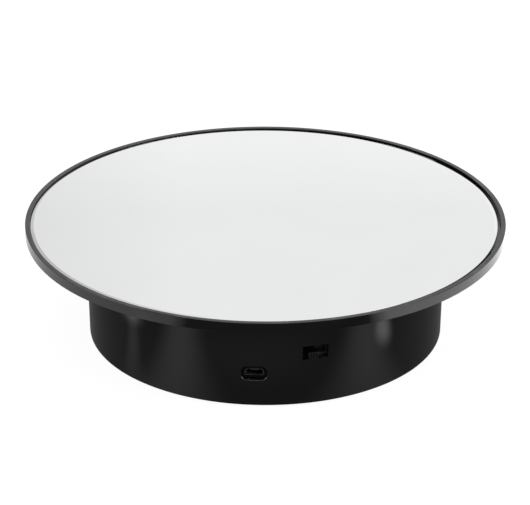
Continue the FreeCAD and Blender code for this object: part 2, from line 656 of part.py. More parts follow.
def motor_magnets():
    """Two curved magnets against the can's wall."""
    ring = tube(MOTOR_R - 0.7, MOTOR_R - 2.4, MOTOR_UNDER + 3.6, CASE_FLOOR - 1.8, MOTOR_AXIS)
    gap = box(-12, 12, -2.2, 2.2, 0, 20)
    gap.translate(V(MOTOR_AXIS.x, MOTOR_AXIS.y, 0))
    return ring.cut(gap)


def motor_armature():
    """Three-pole core on the shaft, with a winding on each pole."""
    z0, z1 = MOTOR_UNDER + 4.6, CASE_FLOOR - 3.6
    parts = [cyl(2.0, z0, z1, MOTOR_AXIS)]
    for angle in (90, 210, 330):
        pole = box(0, 6.0, -0.6, 0.6, z0 + 0.6, z1 - 0.6)
        shoe = tube(7.1, 5.7, z0 + 0.6, z1 - 0.6).common(prism([(0, 0), (9, -5.6), (9, 5.6)], z0, z1))
        coil = box(2.8, 5.2, -1.4, 1.4, z0 + 0.2, z1 - 0.2)
        for piece in (pole, shoe, coil):
            piece.rotate(V(0, 0, 0), UP, angle)
            piece.translate(V(MOTOR_AXIS.x, MOTOR_AXIS.y, 0))
            parts.append(piece)
    return fuse(parts).cut(cyl(MOTOR_SHAFT_R, 0, 30, MOTOR_AXIS))


def motor_shaft():
    return cyl(MOTOR_SHAFT_R, MOTOR_UNDER + 0.8, 23.3, MOTOR_AXIS)


def motor_end_cap():
    """Plastic cap that closes the can and carries the terminals."""
    cap = cyl(MOTOR_R, MOTOR_UNDER, MOTOR_UNDER + 1.6, MOTOR_AXIS)
    cap = cap.fuse(cyl(MOTOR_R - 0.7, MOTOR_UNDER + 1.6, MOTOR_UNDER + 3.0, MOTOR_AXIS))
    slots = []
    for place in terminal_places():
        slots.append(box(place.x - 0.9, place.x + 0.9, place.y - 0.25, place.y + 0.25, 0, 30))
    return cap.cut(slots + [cyl(MOTOR_SHAFT_R + 0.04, MOTOR_UNDER + 0.6, 30, MOTOR_AXIS)])


def terminal_places():
    return [MOTOR_AXIS + V(-3.6, -6.4, 0), MOTOR_AXIS + V(3.6, -6.4, 0)]


def motor_terminals():
    """Two solder tags that come down through the end cap."""
    tags = []
    for p in terminal_places():
        tags.append(box(p.x - 0.9, p.x + 0.9, p.y - 0.25, p.y + 0.25, MOTOR_UNDER - 1.2, MOTOR_UNDER + 3.4))
    return Part.makeCompound(tags)


def motor_screws():
    return Part.makeCompound([screw(1.5, 0.8, 0.8, 2.7, V(p.x, p.y, CASE_FLOOR_TOP), upwards=False)
                              for p in motor_screw_places()])


# ---------------------------------------------------------------- control board and socket
def control_board():
    board = box(-BOARD_X, BOARD_X, BOARD_Y0, BOARD_Y1, BOARD_TOP - BOARD_T, BOARD_TOP)
    board = board.cut([cyl(1.1, BOARD_TOP - 2, BOARD_TOP + 1, p) for p in board_post_places()])
    return board.cut(socket_legs(0.05))


def socket_legs(grow):
    """The socket's two solder legs, grown all round by that much."""
    y0 = SOCKET_FACE_Y + 2.4
    return [box(x - 0.5 - grow, x + 0.5 + grow, y0 - grow, y0 + 1.8 + grow, BOARD_TOP - BOARD_T - grow,
                SOCKET_Z - 1.2) for x in (-3.6, 3.6)]


def socket_outline(grow):
    """Six-cornered plug outline, wide below and chamfered above, as (x, z) about its middle."""
    half_w, half_h, chamfer = 3.75 + grow, 1.35 + grow, 1.1
    return [(-half_w, -half_h), (half_w, -half_h), (half_w, half_h - chamfer),
            (half_w - chamfer, half_h), (-half_w + chamfer, half_h), (-half_w, half_h - chamfer)]


def socket_prism(grow, y0, y1):
    corners = [V(x, y0, SOCKET_Z + z) for x, z in socket_outline(grow)]
    return Part.Face(Part.makePolygon(corners + corners[:1])).extrude(V(0, y1 - y0, 0))


def usb_socket_shell():
    """Folded steel shell of the charging socket, open to the front."""
    back = SOCKET_FACE_Y + 5.2
    shell = socket_prism(0.0, SOCKET_FACE_Y, back)
    shell = shell.cut(socket_prism(-0.3, SOCKET_FACE_Y - 1, back - 0.3))
    return shell.fuse(socket_legs(0.0))


def usb_contact_tongue():
    back = SOCKET_FACE_Y + 4.9
    tongue = box(-1.9, 1.9, SOCKET_FACE_Y + 0.9, back, SOCKET_Z + 0.1, SOCKET_Z + 0.75)
    return tongue.fuse(box(-2.3, 2.3, back - 1.0, back, SOCKET_Z - 1.0, SOCKET_Z + 0.9))


def driver_chip():
    """Eight-leg motor driver on the board."""
    z = BOARD_TOP
    body = box(-2.5, 2.5, -60.0, -56.0, z + 0.2, z + 1.7)
    legs = []
    for k in range(4):
        x = -1.9 + 1.27 * k
        legs.append(box(x - 0.2, x + 0.2, -61.0, -60.0, z, z + 0.6))
        legs.append(box(x - 0.2, x + 0.2, -56.0, -55.0, z, z + 0.6))
    return body.fuse(legs)


def board_capacitor():
    can = cyl(2.5, BOARD_TOP, BOARD_TOP + 5.4, V(7.0, -59.5, 0))
    rim = [e for e in can.Edges if e.Closed and e.BoundBox.ZMin > BOARD_TOP + 5.3]
    return can.makeFillet(0.4, rim)


def board_screws():
    return Part.makeCompound([screw(1.9, 1.2, 0.9, 7.0, V(p.x, p.y, BOARD_TOP), upwards=False)
                              for p in board_post_places() if p.y > -60])


# ---------------------------------------------------------------- slide switch
RAIL_RISE = -0.9              # top of the housing's rail, from the middle of the knob


def switch_body():
    """Moulded switch housing with a slot in its face for the knob, and a raised rail on one side of it."""
    x0, x1 = SWITCH_SHIFT - 7.5, SWITCH_SHIFT + 7.5
    z0, z1 = SWITCH_KNOB_Z - 3.3, SWITCH_KNOB_Z + 4.4
    body = box(x0, x1, SWITCH_BODY_Y, SWITCH_BODY_Y + 5.6, z0, z1)
    slot = box(SWITCH_SHIFT - 6.2, SWITCH_SHIFT + 6.2, SWITCH_BODY_Y - 1, SWITCH_BODY_Y + 3.6,
               SWITCH_KNOB_Z - 1.75, SWITCH_KNOB_Z + 3.4)
    rail = box(SWITCH_SHIFT + 2.3, SWITCH_SHIFT + 6.2, SWITCH_BODY_Y, SWITCH_BODY_Y + 3.6,
               SWITCH_KNOB_Z - 1.75, SWITCH_KNOB_Z + RAIL_RISE)
    return at_switch(body.cut(slot.cut(rail))).cut(switch_terminals())


def switch_knob():
    """Ribbed slider that sticks out through the wall; its stem is undercut to pass over the rail."""
    front = -75.9
    half_w, half_h = 2.0, 1.5
    knob = box(SWITCH_SHIFT - half_w, SWITCH_SHIFT + half_w, front, SWITCH_BODY_Y + 3.2,
               SWITCH_KNOB_Z - half_h, SWITCH_KNOB_Z + half_h)
    undercut = box(SWITCH_SHIFT - 3, SWITCH_SHIFT + 3, SWITCH_BODY_Y - 0.4, SWITCH_BODY_Y + 4,
                   SWITCH_KNOB_Z - 2, SWITCH_KNOB_Z + RAIL_RISE + 0.2)
    grooves = [box(x - 0.2, x + 0.2, front - 1, front + 0.35, SWITCH_KNOB_Z - 2, SWITCH_KNOB_Z + 2)
               for x in (SWITCH_SHIFT - 1.0, SWITCH_SHIFT, SWITCH_SHIFT + 1.0)]
    return at_switch(knob.cut([undercut] + grooves))


def switch_pin_xs():
    return [SWITCH_SHIFT + 3.0 * k for k in (-1, 0, 1)]


def switch_terminals():
    back = SWITCH_BODY_Y + 5.6
    pins = [box(x - 0.5, x + 0.5, back - 1.0, back + 4.2, SWITCH_KNOB_Z - 0.25, SWITCH_KNOB_Z + 0.25)
            for x in switch_pin_xs()]
    return at_switch(Part.makeCompound(pins))


def switch_clamp():
    """Bar screwed to the two posts, holding the switch against the wall."""
    y0 = -65.0
    bar = box(SWITCH_SHIFT - 12.6, SWITCH_SHIFT + 12.6, y0, y0 + 1.8, SWITCH_KNOB_Z - 3.0,
              SWITCH_KNOB_Z + 3.0)
    pads = [box(x - 0.9, x + 0.9, SWITCH_BODY_Y + 5.6, y0, SWITCH_KNOB_Z - 2.4, SWITCH_KNOB_Z + 2.4)
            for x in (SWITCH_SHIFT - 5.2, SWITCH_SHIFT + 5.2)]
    bar = bar.fuse(pads)
    window = box(SWITCH_SHIFT - 4.0, SWITCH_SHIFT + 4.0, y0 - 1, y0 + 3, SWITCH_KNOB_Z - 1.5,
                 SWITCH_KNOB_Z + 1.5)
    holes = [Part.makeCylinder(1.0, 4.0, V(x, y0 + 3, SWITCH_KNOB_Z), V(0, -1, 0))
             for x in (SWITCH_SHIFT - SWITCH_POST_X, SWITCH_SHIFT + SWITCH_POST_X)]
    return at_switch(bar.cut([window] + holes))


def switch_screws():
    """Two small screws through the clamp, pointing at the wall."""
    screws = []
    for x in (SWITCH_SHIFT - SWITCH_POST_X, SWITCH_SHIFT + SWITCH_POST_X):
        one = screw(1.8, 1.1, 0.9, 6.0, V(0, 0, 0))
        one.rotate(V(0, 0, 0), V(1, 0, 0), 90)
        one.translate(V(x, -63.2, SWITCH_KNOB_Z))
        screws.append(one)
    return at_switch(Part.makeCompound(screws))


# ---------------------------------------------------------------- battery contacts
def bay_xs():
    width = (BAY_X1 - BAY_X0) / CELL_COUNT
    return [BAY_X0 + width * (k + 0.5) for k in range(CELL_COUNT)]


CELL_Z = COVER_UNDER + DOOR_T + 0.3 + CELL_R
PLATE_T = 0.5


def battery_plates():
    """Sprung-steel plates at both ends: two singles and two that link neighbouring cells."""
    near, far = -BAY_Y, BAY_Y - PLATE_T
    xs = bay_xs()
    spans = [(xs[0], xs[0], near), (xs[1], xs[2], near), (xs[0], xs[1], far), (xs[2], xs[2], far)]
    plates = []
    for a, b, y in spans:
        plates.append(box(a - 5.6, b + 5.6, y, y + PLATE_T, CELL_Z - 5.6, CELL_Z + 3.6))
    return Part.makeCompound(plates)


def conical_spring(x, y, inwards):
    """Coil that narrows towards the cell, its axis along Y, as short straights joined by arcs."""
    wire_r, wide, narrow, height, turns, per_turn = 0.4, 4.6, 2.6, 7.0, 4, 8
    steps = turns * per_turn
    points = []
    for k in range(steps + 1):
        share = k / steps
        radius = wide + (narrow - wide) * share
        around = polar(radius, 360 * k / per_turn)
        points.append(V(x + around.x, y + inwards * (wire_r + 0.05 + height * share), CELL_Z + around.y))
    return bent_wire(points, wire_r)


def battery_springs():
    xs = bay_xs()
    return Part.makeCompound([
        conical_spring(xs[0], -BAY_Y + PLATE_T, 1),
        conical_spring(xs[1], BAY_Y - PLATE_T, -1),
        conical_spring(xs[2], -BAY_Y + PLATE_T, 1)])


# ---------------------------------------------------------------- leads
LEAD_R = 0.7


def down_to_board(x, way_in):
    """Last stretch of a lead: over a crest beside the board, then straight down on to it."""
    return [V(way_in, -47.4, LEAD_CREST), V(x, -51.6, LEAD_CREST), V(x, -51.6, BOARD_TOP)]


def motor_leads():
    near, far = terminal_places()
    y, z = near.y - 0.27, MOTOR_UNDER - 0.75
    red = [V(far.x, y, z), V(far.x, 16.0, z), V(22.0, -20.0, 5.5), V(10.0, -43.5, 9.5)]
    black = [V(near.x, y, z), V(near.x, 14.0, z), V(14.0, -20.0, 5.0), V(4.5, -43.5, 9.0)]
    return {
        "motor_lead_red": bent_wire(red + down_to_board(5.6, 6.2), LEAD_R),
        "motor_lead_black": bent_wire(black + down_to_board(1.8, 2.0), LEAD_R)}


def battery_leads():
    """From the two end contacts, out through the compartment's walls, to the board."""
    (near_x, _), (far_x, _) = LEAD_HOLES
    start_y, z = BAY_Y + 0.02, LEAD_HOLE_Z
    black = [V(near_x, -start_y, z), V(near_x, -38.0, z), V(-30.0, -45.0, 10.0), V(-12.0, -45.0, 12.0)]
    red = [V(far_x, start_y, z), V(far_x, 36.0, z), V(-8.0, 36.0, 8.0), V(-7.0, 10.0, 6.0),
           V(-8.0, -30.0, 7.0), V(-3.2, -44.5, 10.0)]
    return {
        "battery_lead_black": bent_wire(black + down_to_board(-6.0, -6.4), LEAD_R),
        "battery_lead_red": bent_wire(red + down_to_board(-2.2, -2.4), LEAD_R)}


def switch_leads():
    """One lead from each switch terminal, over the edge of the board and down to it."""
    turn = math.radians(SWITCH_ANGLE)
    inwards = V(-math.sin(turn), math.cos(turn), 0)
    across = V(math.cos(turn), math.sin(turn), 0)
    leads = {}
    for number, (x, board_y) in enumerate(zip(switch_pin_xs(), (-63.0, -60.0, -57.0)), start=1):
        tip = across * x + inwards * (SWITCH_BODY_Y + 9.8) + V(0, 0, SWITCH_KNOB_Z)
        bend = tip + inwards * (3.0 + 1.2 * number)
        leads[f"switch_lead_{number}"] = bent_wire(
            [tip, bend, V(14.4, board_y + 3.6, LEAD_CREST + 2.0), V(11.4, board_y, LEAD_CREST - 0.2),
             V(11.4, board_y, BOARD_TOP)], 0.5)
    return leads


# ---------------------------------------------------------------- export
def build():
    nodes = {
        "platter_disc": platter_disc(),
        "mirror_plate": mirror_plate(),
        "mirror_tape": mirror_tape(),
        "spindle_bush": spindle_bush(),
        "drive_gear_screws": drive_gear_screws(),
        "bearing_balls": bearing_balls(),
        "ball_cage": ball_cage(),
        "base_shell": base_shell(),
        "bottom_cover": bottom_cover(),
        "battery_door": battery_door(),
        "cover_screws": cover_screws(),
        "spindle_post": spindle_post(),
        "retaining_washer": retaining_washer(),
        "retaining_screw": retaining_screw(),
        "gearbox_case": gearbox_case(),
        "gearbox_lid": gearbox_lid(),
        "gearbox_screws": gearbox_screws(),
        "first_gear_axle": gear_axle(FIRST_AXIS),
        "second_gear_axle": gear_axle(SECOND_AXIS),
        "output_bush_lower": output_bush(18.2, 23.6, 23.6),
        "output_bush_upper": output_bush(33.4, 38.8, 33.2),
        "output_shaft": output_shaft(),
        "motor_can": motor_can(),
        "motor_magnets": motor_magnets(),
        "motor_armature": motor_armature(),
        "motor_shaft": motor_shaft(),
        "motor_end_cap": motor_end_cap(),
        "motor_terminals": motor_terminals(),
        "motor_screws": motor_screws(),
        "control_board": control_board(),
        "usb_socket_shell": usb_socket_shell(),
        "usb_contact_tongue": usb_contact_tongue(),
        "driver_chip": driver_chip(),
        "board_capacitor": board_capacitor(),
        "board_screws": board_screws(),
        "switch_body": switch_body(),
        "switch_knob": switch_knob(),
        "switch_terminals": switch_terminals(),
        "switch_clamp": switch_clamp(),
        "switch_screws": switch_screws(),
        "battery_plates": battery_plates(),
        "battery_springs": battery_springs(),
    }
    nodes.update(gear_train())
    nodes.update(motor_leads())
    nodes.update(battery_leads())
    nodes.update(switch_leads())
    for number, angle in enumerate(FOOT_ANGLES, start=1):
        nodes[f"rubber_foot_{number}"] = rubber_foot(angle)
    return nodes


def main():
    os.makedirs("parts", exist_ok=True)
    for name, shape in sorted(build().items()):
        bad = [s for s in shape.Solids if not s.isValid() or s.Volume <= 0]
        if bad or not shape.Solids:
            print("FAULT", name, len(shape.Solids), "solids")
        shape.exportStep(os.path.join("parts", name + ".step"))
        print(f"{name:24s} {len(shape.Solids):3d} solids {shape.Volume:10.1f} mm3")


main()
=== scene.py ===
import json
import math

import bmesh
import bpy
from mathutils import Matrix, Quaternion, Vector


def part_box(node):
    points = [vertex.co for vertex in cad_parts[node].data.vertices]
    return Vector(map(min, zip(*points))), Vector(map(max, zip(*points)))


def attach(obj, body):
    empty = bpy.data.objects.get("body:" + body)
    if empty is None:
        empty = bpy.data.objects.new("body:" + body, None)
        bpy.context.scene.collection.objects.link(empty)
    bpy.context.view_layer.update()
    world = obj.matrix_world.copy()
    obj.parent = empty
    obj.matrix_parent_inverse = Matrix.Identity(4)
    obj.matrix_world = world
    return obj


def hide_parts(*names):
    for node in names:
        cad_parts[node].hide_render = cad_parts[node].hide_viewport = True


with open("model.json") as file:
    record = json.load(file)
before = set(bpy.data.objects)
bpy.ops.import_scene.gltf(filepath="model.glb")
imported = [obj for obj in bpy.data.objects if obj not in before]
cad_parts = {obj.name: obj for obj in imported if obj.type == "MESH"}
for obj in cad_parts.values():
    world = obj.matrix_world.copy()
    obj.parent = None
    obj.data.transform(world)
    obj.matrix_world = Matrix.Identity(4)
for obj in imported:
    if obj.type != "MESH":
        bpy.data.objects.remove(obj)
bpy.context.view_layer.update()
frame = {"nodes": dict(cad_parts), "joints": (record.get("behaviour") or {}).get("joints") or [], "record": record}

MM = 0.001

# ---------------------------------------------------------------- levels read from the frame, in millimetres
RIM_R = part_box("platter_disc")[1].x / MM
RIM_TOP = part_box("platter_disc")[1].z / MM
HUB_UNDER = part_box("platter_disc")[0].z / MM
OUTER_FACE = 4.3              # height of the platter's outer face
WEB_UNDER = RIM_TOP - OUTER_FACE
RING = 2.6                    # flat ring under the platter's edge
RELIEF = 0.35                 # depth of the step inside that ring
HUB_R = 9.0
LIP = 2.0
TAPE = 0.35                   # foam tape under the mirror
MIRROR_LOW, MIRROR_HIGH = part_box("mirror_plate")
BASE_LOW, BASE_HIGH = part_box("base_shell")
BASE_TOP_R = BASE_HIGH.x / MM
BASE_TOP_Z = BASE_HIGH.z / MM
BASE_FOOT_Z = BASE_LOW.z / MM
TAPER = 0.8                   # the base is this much smaller in radius at its foot
BASE_FOOT_R = BASE_TOP_R - TAPER
WALL = 2.2
BALL_Z = (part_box("bearing_balls")[0].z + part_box("bearing_balls")[1].z) / 2 / MM


# ---------------------------------------------------------------- mesh helpers
def lathe(profile, steps=240):
    """Closed solid turned about Z from (radius, z) corners in millimetres."""
    bm = bmesh.new()
    corners = [bm.verts.new((r * MM, 0, z * MM)) for r, z in profile]
    edges = [bm.edges.new(pair) for pair in zip(corners, corners[1:] + corners[:1])]
    bmesh.ops.spin(bm, geom=corners + edges, cent=(0, 0, 0), axis=(0, 0, 1), dvec=(0, 0, 0),
                   angle=2 * math.pi, steps=steps, use_merge=True)
    bmesh.ops.remove_doubles(bm, verts=bm.verts, dist=1e-6)
    bmesh.ops.dissolve_degenerate(bm, dist=1e-7, edges=bm.edges)
    bmesh.ops.recalc_face_normals(bm, faces=bm.faces)
    return bm


def block(size, at):
    """Box of that size in millimetres about a point."""
    bm = bmesh.new()
    bmesh.ops.create_cube(bm, size=MM)
    bmesh.ops.scale(bm, vec=size, verts=bm.verts)
    bmesh.ops.translate(bm, vec=Vector(at) * MM, verts=bm.verts)
    return bm


def soften(bm, width, segments=3, sharper_than=35.0, where=None):
    """Rounds every edge that turns more sharply than an angle, and that the test picks if one is given."""
    limit = math.radians(sharper_than)
    edges = [e for e in bm.edges if e.is_manifold and e.calc_face_angle() > limit and (not where or where(e))]
    bmesh.ops.bevel(bm, geom=edges, offset=width * MM, offset_type="OFFSET", affect="EDGES",
                    segments=segments, profile=0.5, material=-1, clamp_overlap=True)
    return bm


def join(target, *others):
    """Adds the other meshes to the first and frees them."""
    for other in others:
        spare = bpy.data.meshes.new("spare")
        other.to_mesh(spare)
        other.free()
        target.from_mesh(spare)
        bpy.data.meshes.remove(spare)
    return target


def combine(bm, operation, *others):
    """Boolean of the first solid with each of the others, which are used up."""
    for other in others:
        shapes = []
        for part in (bm, other):
            mesh = bpy.data.meshes.new("working")
            part.to_mesh(mesh)
            part.free()
            shapes.append(bpy.data.objects.new("working", mesh))
            bpy.context.scene.collection.objects.link(shapes[-1])
        knife = shapes[0].modifiers.new("combine", "BOOLEAN")
        knife.operation, knife.solver, knife.object = operation, "EXACT", shapes[1]
        view = bpy.context.evaluated_depsgraph_get()
        bm = bmesh.new()
        bm.from_object(shapes[0], view)
        for shape in shapes:
            mesh = shape.data
            bpy.data.objects.remove(shape)
            bpy.data.meshes.remove(mesh)
    bmesh.ops.remove_doubles(bm, verts=bm.verts, dist=1e-6)
    return bm


def turn(bm, angle):
    """Turns a mesh about Z by an angle in radians."""
    bmesh.ops.rotate(bm, verts=bm.verts, cent=(0, 0, 0), matrix=Matrix.Rotation(angle, 3, "Z"))
    return bm


def shift(bm, by):
    """Moves a mesh by millimetres."""
    bmesh.ops.translate(bm, vec=Vector(by) * MM, verts=bm.verts)
    return bm


def piece(name, bm, body, material, stands_for=(), smooth=50.0, even=True):
    """Finished object from a mesh: smooth apart from its sharp edges, riding on a body."""
    mesh = bpy.data.meshes.new(name)
    bm.to_mesh(mesh)
    bm.free()
    mesh.shade_smooth()
    mesh.set_sharp_from_angle(angle=math.radians(smooth))
    mesh.materials.append(material)
    obj = bpy.data.objects.new(name, mesh)
    bpy.context.scene.collection.objects.link(obj)
    if even:
        weigh = obj.modifiers.new("flat_faces_stay_flat", "WEIGHTED_NORMAL")
        weigh.keep_sharp, weigh.mode, weigh.weight = True, "FACE_AREA", 50
    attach(obj, body)
    if stands_for:
        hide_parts(*stands_for)
    return obj


# ---------------------------------------------------------------- effects shared by the finishes
def effect(name, inputs, outputs):
    """Empty node group with named value inputs and outputs; returns it with its two ends."""
    group = bpy.data.node_groups.new(name, "ShaderNodeTree")
    for label, value in inputs.items():
        socket = group.interface.new_socket(label, in_out="INPUT", socket_type="NodeSocketFloat")
        socket.default_value = value
    for label, kind in outputs.items():
        group.interface.new_socket(label, in_out="OUTPUT", socket_type=kind)
    return group, group.nodes.new("NodeGroupInput"), group.nodes.new("NodeGroupOutput")


def add(tree, kind, links=None, **settings):
    """Adds a node, sets its properties or input values, and links its inputs."""
    node = tree.nodes.new(kind)
    for key, value in settings.items():
        setattr(node, key, value)
    for key, source in (links or {}).items():
        if hasattr(source, "is_output"):
            tree.links.new(source, node.inputs[key])
        else:
            node.inputs[key].default_value = source
    return node


def calc(tree, operation, a, b=0.0, clamp=False):
    """Math node; a and b are numbers or outputs."""
    return add(tree, "ShaderNodeMath", {0: a, 1: b}, operation=operation, use_clamp=clamp).outputs[0]


def ramp(tree, value, low, high, to_low=0.0, to_high=1.0):
    """Clamped linear change of range."""
    node = add(tree, "ShaderNodeMapRange", {"Value": value, "From Min": low, "From Max": high,
                                            "To Min": to_low, "To Max": to_high})
    return node.outputs["Result"]


def make_scratches():
    """Hairline scratches in three directions, broken up so that none runs far."""
    group, given, result = effect("hairline_scratches", {"Per metre": 160.0, "Amount": 0.5, "Stretch": 60.0},
                                  {"Mask": "NodeSocketFloat"})
    place = add(group, "ShaderNodeTexCoord").outputs["Object"]
    total = None
    for heading in (0.35, 1.42, 2.6):
        tilted = (heading * 0.4, heading * 0.7, heading)
        turned = add(group, "ShaderNodeMapping", {"Vector": place, "Rotation": tilted})
        parts = add(group, "ShaderNodeSeparateXYZ", {0: turned.outputs[0]})
        narrow = calc(group, "MULTIPLY", parts.outputs[0], given.outputs["Stretch"])
        drawn = add(group, "ShaderNodeCombineXYZ", {0: narrow, 1: parts.outputs[1], 2: parts.outputs[2]})
        lines = add(group, "ShaderNodeTexNoise", {
            "Vector": drawn.outputs[0], "Scale": given.outputs["Per metre"], "Detail": 2.0, "Roughness": 0.6})
        fine = ramp(group, lines.outputs["Fac"], 0.66, 0.74)
        total = fine if total is None else calc(group, "MAXIMUM", total, fine)
    patches = add(group, "ShaderNodeTexNoise", {"Vector": place, "Scale": 35.0, "Detail": 2.0})
    broken = calc(group, "MULTIPLY", total, ramp(group, patches.outputs["Fac"], 0.46, 0.62))
    group.links.new(calc(group, "MULTIPLY", broken, given.outputs["Amount"]), result.inputs["Mask"])
    return group


def make_dust():
    """Sparse specks and short lint, thicker where the surface faces up."""
    group, given, result = effect("settled_dust", {"Per metre": 900.0, "Amount": 0.5},
                                  {"Mask": "NodeSocketFloat"})
    place = add(group, "ShaderNodeTexCoord").outputs["Object"]
    cells = add(group, "ShaderNodeTexVoronoi", {"Vector": place, "Scale": given.outputs["Per metre"]})
    pick = add(group, "ShaderNodeSeparateColor", {0: cells.outputs["Color"]})
    chosen = ramp(group, pick.outputs[0], 0.93, 0.97)
    size = ramp(group, pick.outputs[1], 0.0, 1.0, 0.04, 0.16)
    speck = calc(group, "LESS_THAN", cells.outputs["Distance"], size)
    film = add(group, "ShaderNodeTexNoise", {
        "Vector": place, "Scale": 60.0, "Detail": 5.0, "Roughness": 0.65})
    haze = ramp(group, film.outputs["Fac"], 0.5, 0.85, 0.0, 0.16)
    facing = add(group, "ShaderNodeSeparateXYZ", {0: add(group, "ShaderNodeNewGeometry").outputs["Normal"]})
    upward = ramp(group, facing.outputs[2], 0.0, 1.0, 0.015, 1.0)
    both = calc(group, "ADD", calc(group, "MULTIPLY", speck, chosen), haze)
    mask = calc(group, "MULTIPLY", calc(group, "MULTIPLY", both, upward), given.outputs["Amount"], clamp=True)
    group.links.new(mask, result.inputs["Mask"])
    return group


def make_handling():
    """Soft smears left by fingers and cloths."""
    group, given, result = effect("handling_smears", {"Per metre": 28.0, "Low": 0.4, "High": 0.7},
                                  {"Mask": "NodeSocketFloat"})
    place = add(group, "ShaderNodeTexCoord").outputs["Object"]
    broad = add(group, "ShaderNodeTexNoise", {
        "Vector": place, "Scale": given.outputs["Per metre"], "Detail": 4.0, "Roughness": 0.55,
        "Distortion": 0.6})
    mask = add(group, "ShaderNodeMapRange", {"Value": broad.outputs["Fac"], "From Min": given.outputs["Low"],
                                            "From Max": given.outputs["High"]})
    group.links.new(mask.outputs["Result"], result.inputs["Mask"])
    return group


def make_edge_wear():
    """Mask along convex edges, broken by noise."""
    group, given, result = effect("edge_wear", {"Width": 0.0004, "Amount": 0.6}, {"Mask": "NodeSocketFloat"})
    rounded = add(group, "ShaderNodeBevel", {"Radius": given.outputs["Width"]}, samples=4).outputs[0]
    flat = add(group, "ShaderNodeNewGeometry").outputs["True Normal"]
    along = add(group, "ShaderNodeVectorMath", {0: rounded, 1: flat}, operation="DOT_PRODUCT")
    edge = ramp(group, along.outputs["Value"], 0.995, 0.86)
    place = add(group, "ShaderNodeTexCoord").outputs["Object"]
    chips = add(group, "ShaderNodeTexNoise", {
        "Vector": place, "Scale": 420.0, "Detail": 4.0, "Roughness": 0.7})
    broken = calc(group, "MULTIPLY", edge, ramp(group, chips.outputs["Fac"], 0.42, 0.62))
    group.links.new(calc(group, "MULTIPLY", broken, given.outputs["Amount"]), result.inputs["Mask"])
    return group


def make_grain():
    """Fine pebbled grain of a textured mould or of rubber."""
    group, given, result = effect("pebbled_grain", {"Per metre": 2600.0}, {"Height": "NodeSocketFloat"})
    place = add(group, "ShaderNodeTexCoord").outputs["Object"]
    pebbles = add(group, "ShaderNodeTexVoronoi", {"Vector": place, "Scale": given.outputs["Per metre"]},
                  feature="SMOOTH_F1")
    fine = add(group, "ShaderNodeTexNoise", {
        "Vector": place, "Scale": given.outputs["Per metre"], "Detail": 3.0})
    roughened = calc(group, "MULTIPLY", fine.outputs["Fac"], 0.6)
    height = calc(group, "ADD", pebbles.outputs["Distance"], roughened)
    group.links.new(height, result.inputs["Height"])
    return group


def make_drawn_metal():
    """Fine lines left by drawing or turning, running round Z."""
    group, given, result = effect("tool_lines", {"Per metre": 2200.0}, {"Height": "NodeSocketFloat",
                                                                       "Tone": "NodeSocketFloat"})
    place = add(group, "ShaderNodeSeparateXYZ", {0: add(group, "ShaderNodeTexCoord").outputs["Object"]})
    across = add(group, "ShaderNodeCombineXYZ", {0: calc(group, "MULTIPLY", place.outputs[0], 0.04),
                                                1: calc(group, "MULTIPLY", place.outputs[1], 0.04),
                                                2: place.outputs[2]})
    lines = add(group, "ShaderNodeTexNoise", {
        "Vector": across.outputs[0], "Scale": given.outputs["Per metre"], "Detail": 3.0, "Roughness": 0.7})
    group.links.new(lines.outputs["Fac"], result.inputs["Height"])
    group.links.new(ramp(group, lines.outputs["Fac"], 0.35, 0.65), result.inputs["Tone"])
    return group


SCRATCHES, DUST, HANDLING = make_scratches(), make_dust(), make_handling()
EDGE_WEAR, GRAIN, TOOL_LINES = make_edge_wear(), make_grain(), make_drawn_metal()
DUST_COLOUR = (0.42, 0.40, 0.37, 1)


# ---------------------------------------------------------------- finishes
class Finish:
    """A material with one Principled shader, and the few joins that the finishes below need."""

    def __init__(self, name, **settings):
        self.material = bpy.data.materials.new(name)
        self.material.use_nodes = True
        self.tree = self.material.node_tree
        self.tree.nodes.clear()
        self.shader = self.tree.nodes.new("ShaderNodeBsdfPrincipled")
        out = self.tree.nodes.new("ShaderNodeOutputMaterial")
        self.tree.links.new(self.shader.outputs[0], out.inputs[0])
        for socket, value in settings.items():
            self.shader.inputs[socket.replace("_", " ")].default_value = value

    def put(self, group, output, **values):
        node = self.tree.nodes.new("ShaderNodeGroup")
        node.node_tree = group
        for key, value in values.items():
            node.inputs[key.replace("_", " ")].default_value = value
        return node.outputs[output]

    def feed(self, socket, source):
        self.tree.links.new(source, self.shader.inputs[socket])

    def blend(self, mask, under, over):
        """Colour that goes from one to the other as the mask rises; each is a colour or an output."""
        node = add(self.tree, "ShaderNodeMix", {0: mask, 6: under, 7: over}, data_type="RGBA")
        return node.outputs[2]

    def bump(self, height, strength, distance):
        node = add(self.tree, "ShaderNodeBump", {
            "Height": height, "Strength": strength, "Distance": distance})
        self.feed("Normal", node.outputs[0])

    def noise(self, per_metre, detail=3.0):
        place = add(self.tree, "ShaderNodeTexCoord").outputs["Object"]
        node = add(self.tree, "ShaderNodeTexNoise", {"Vector": place, "Scale": per_metre, "Detail": detail})
        return node.outputs["Fac"]


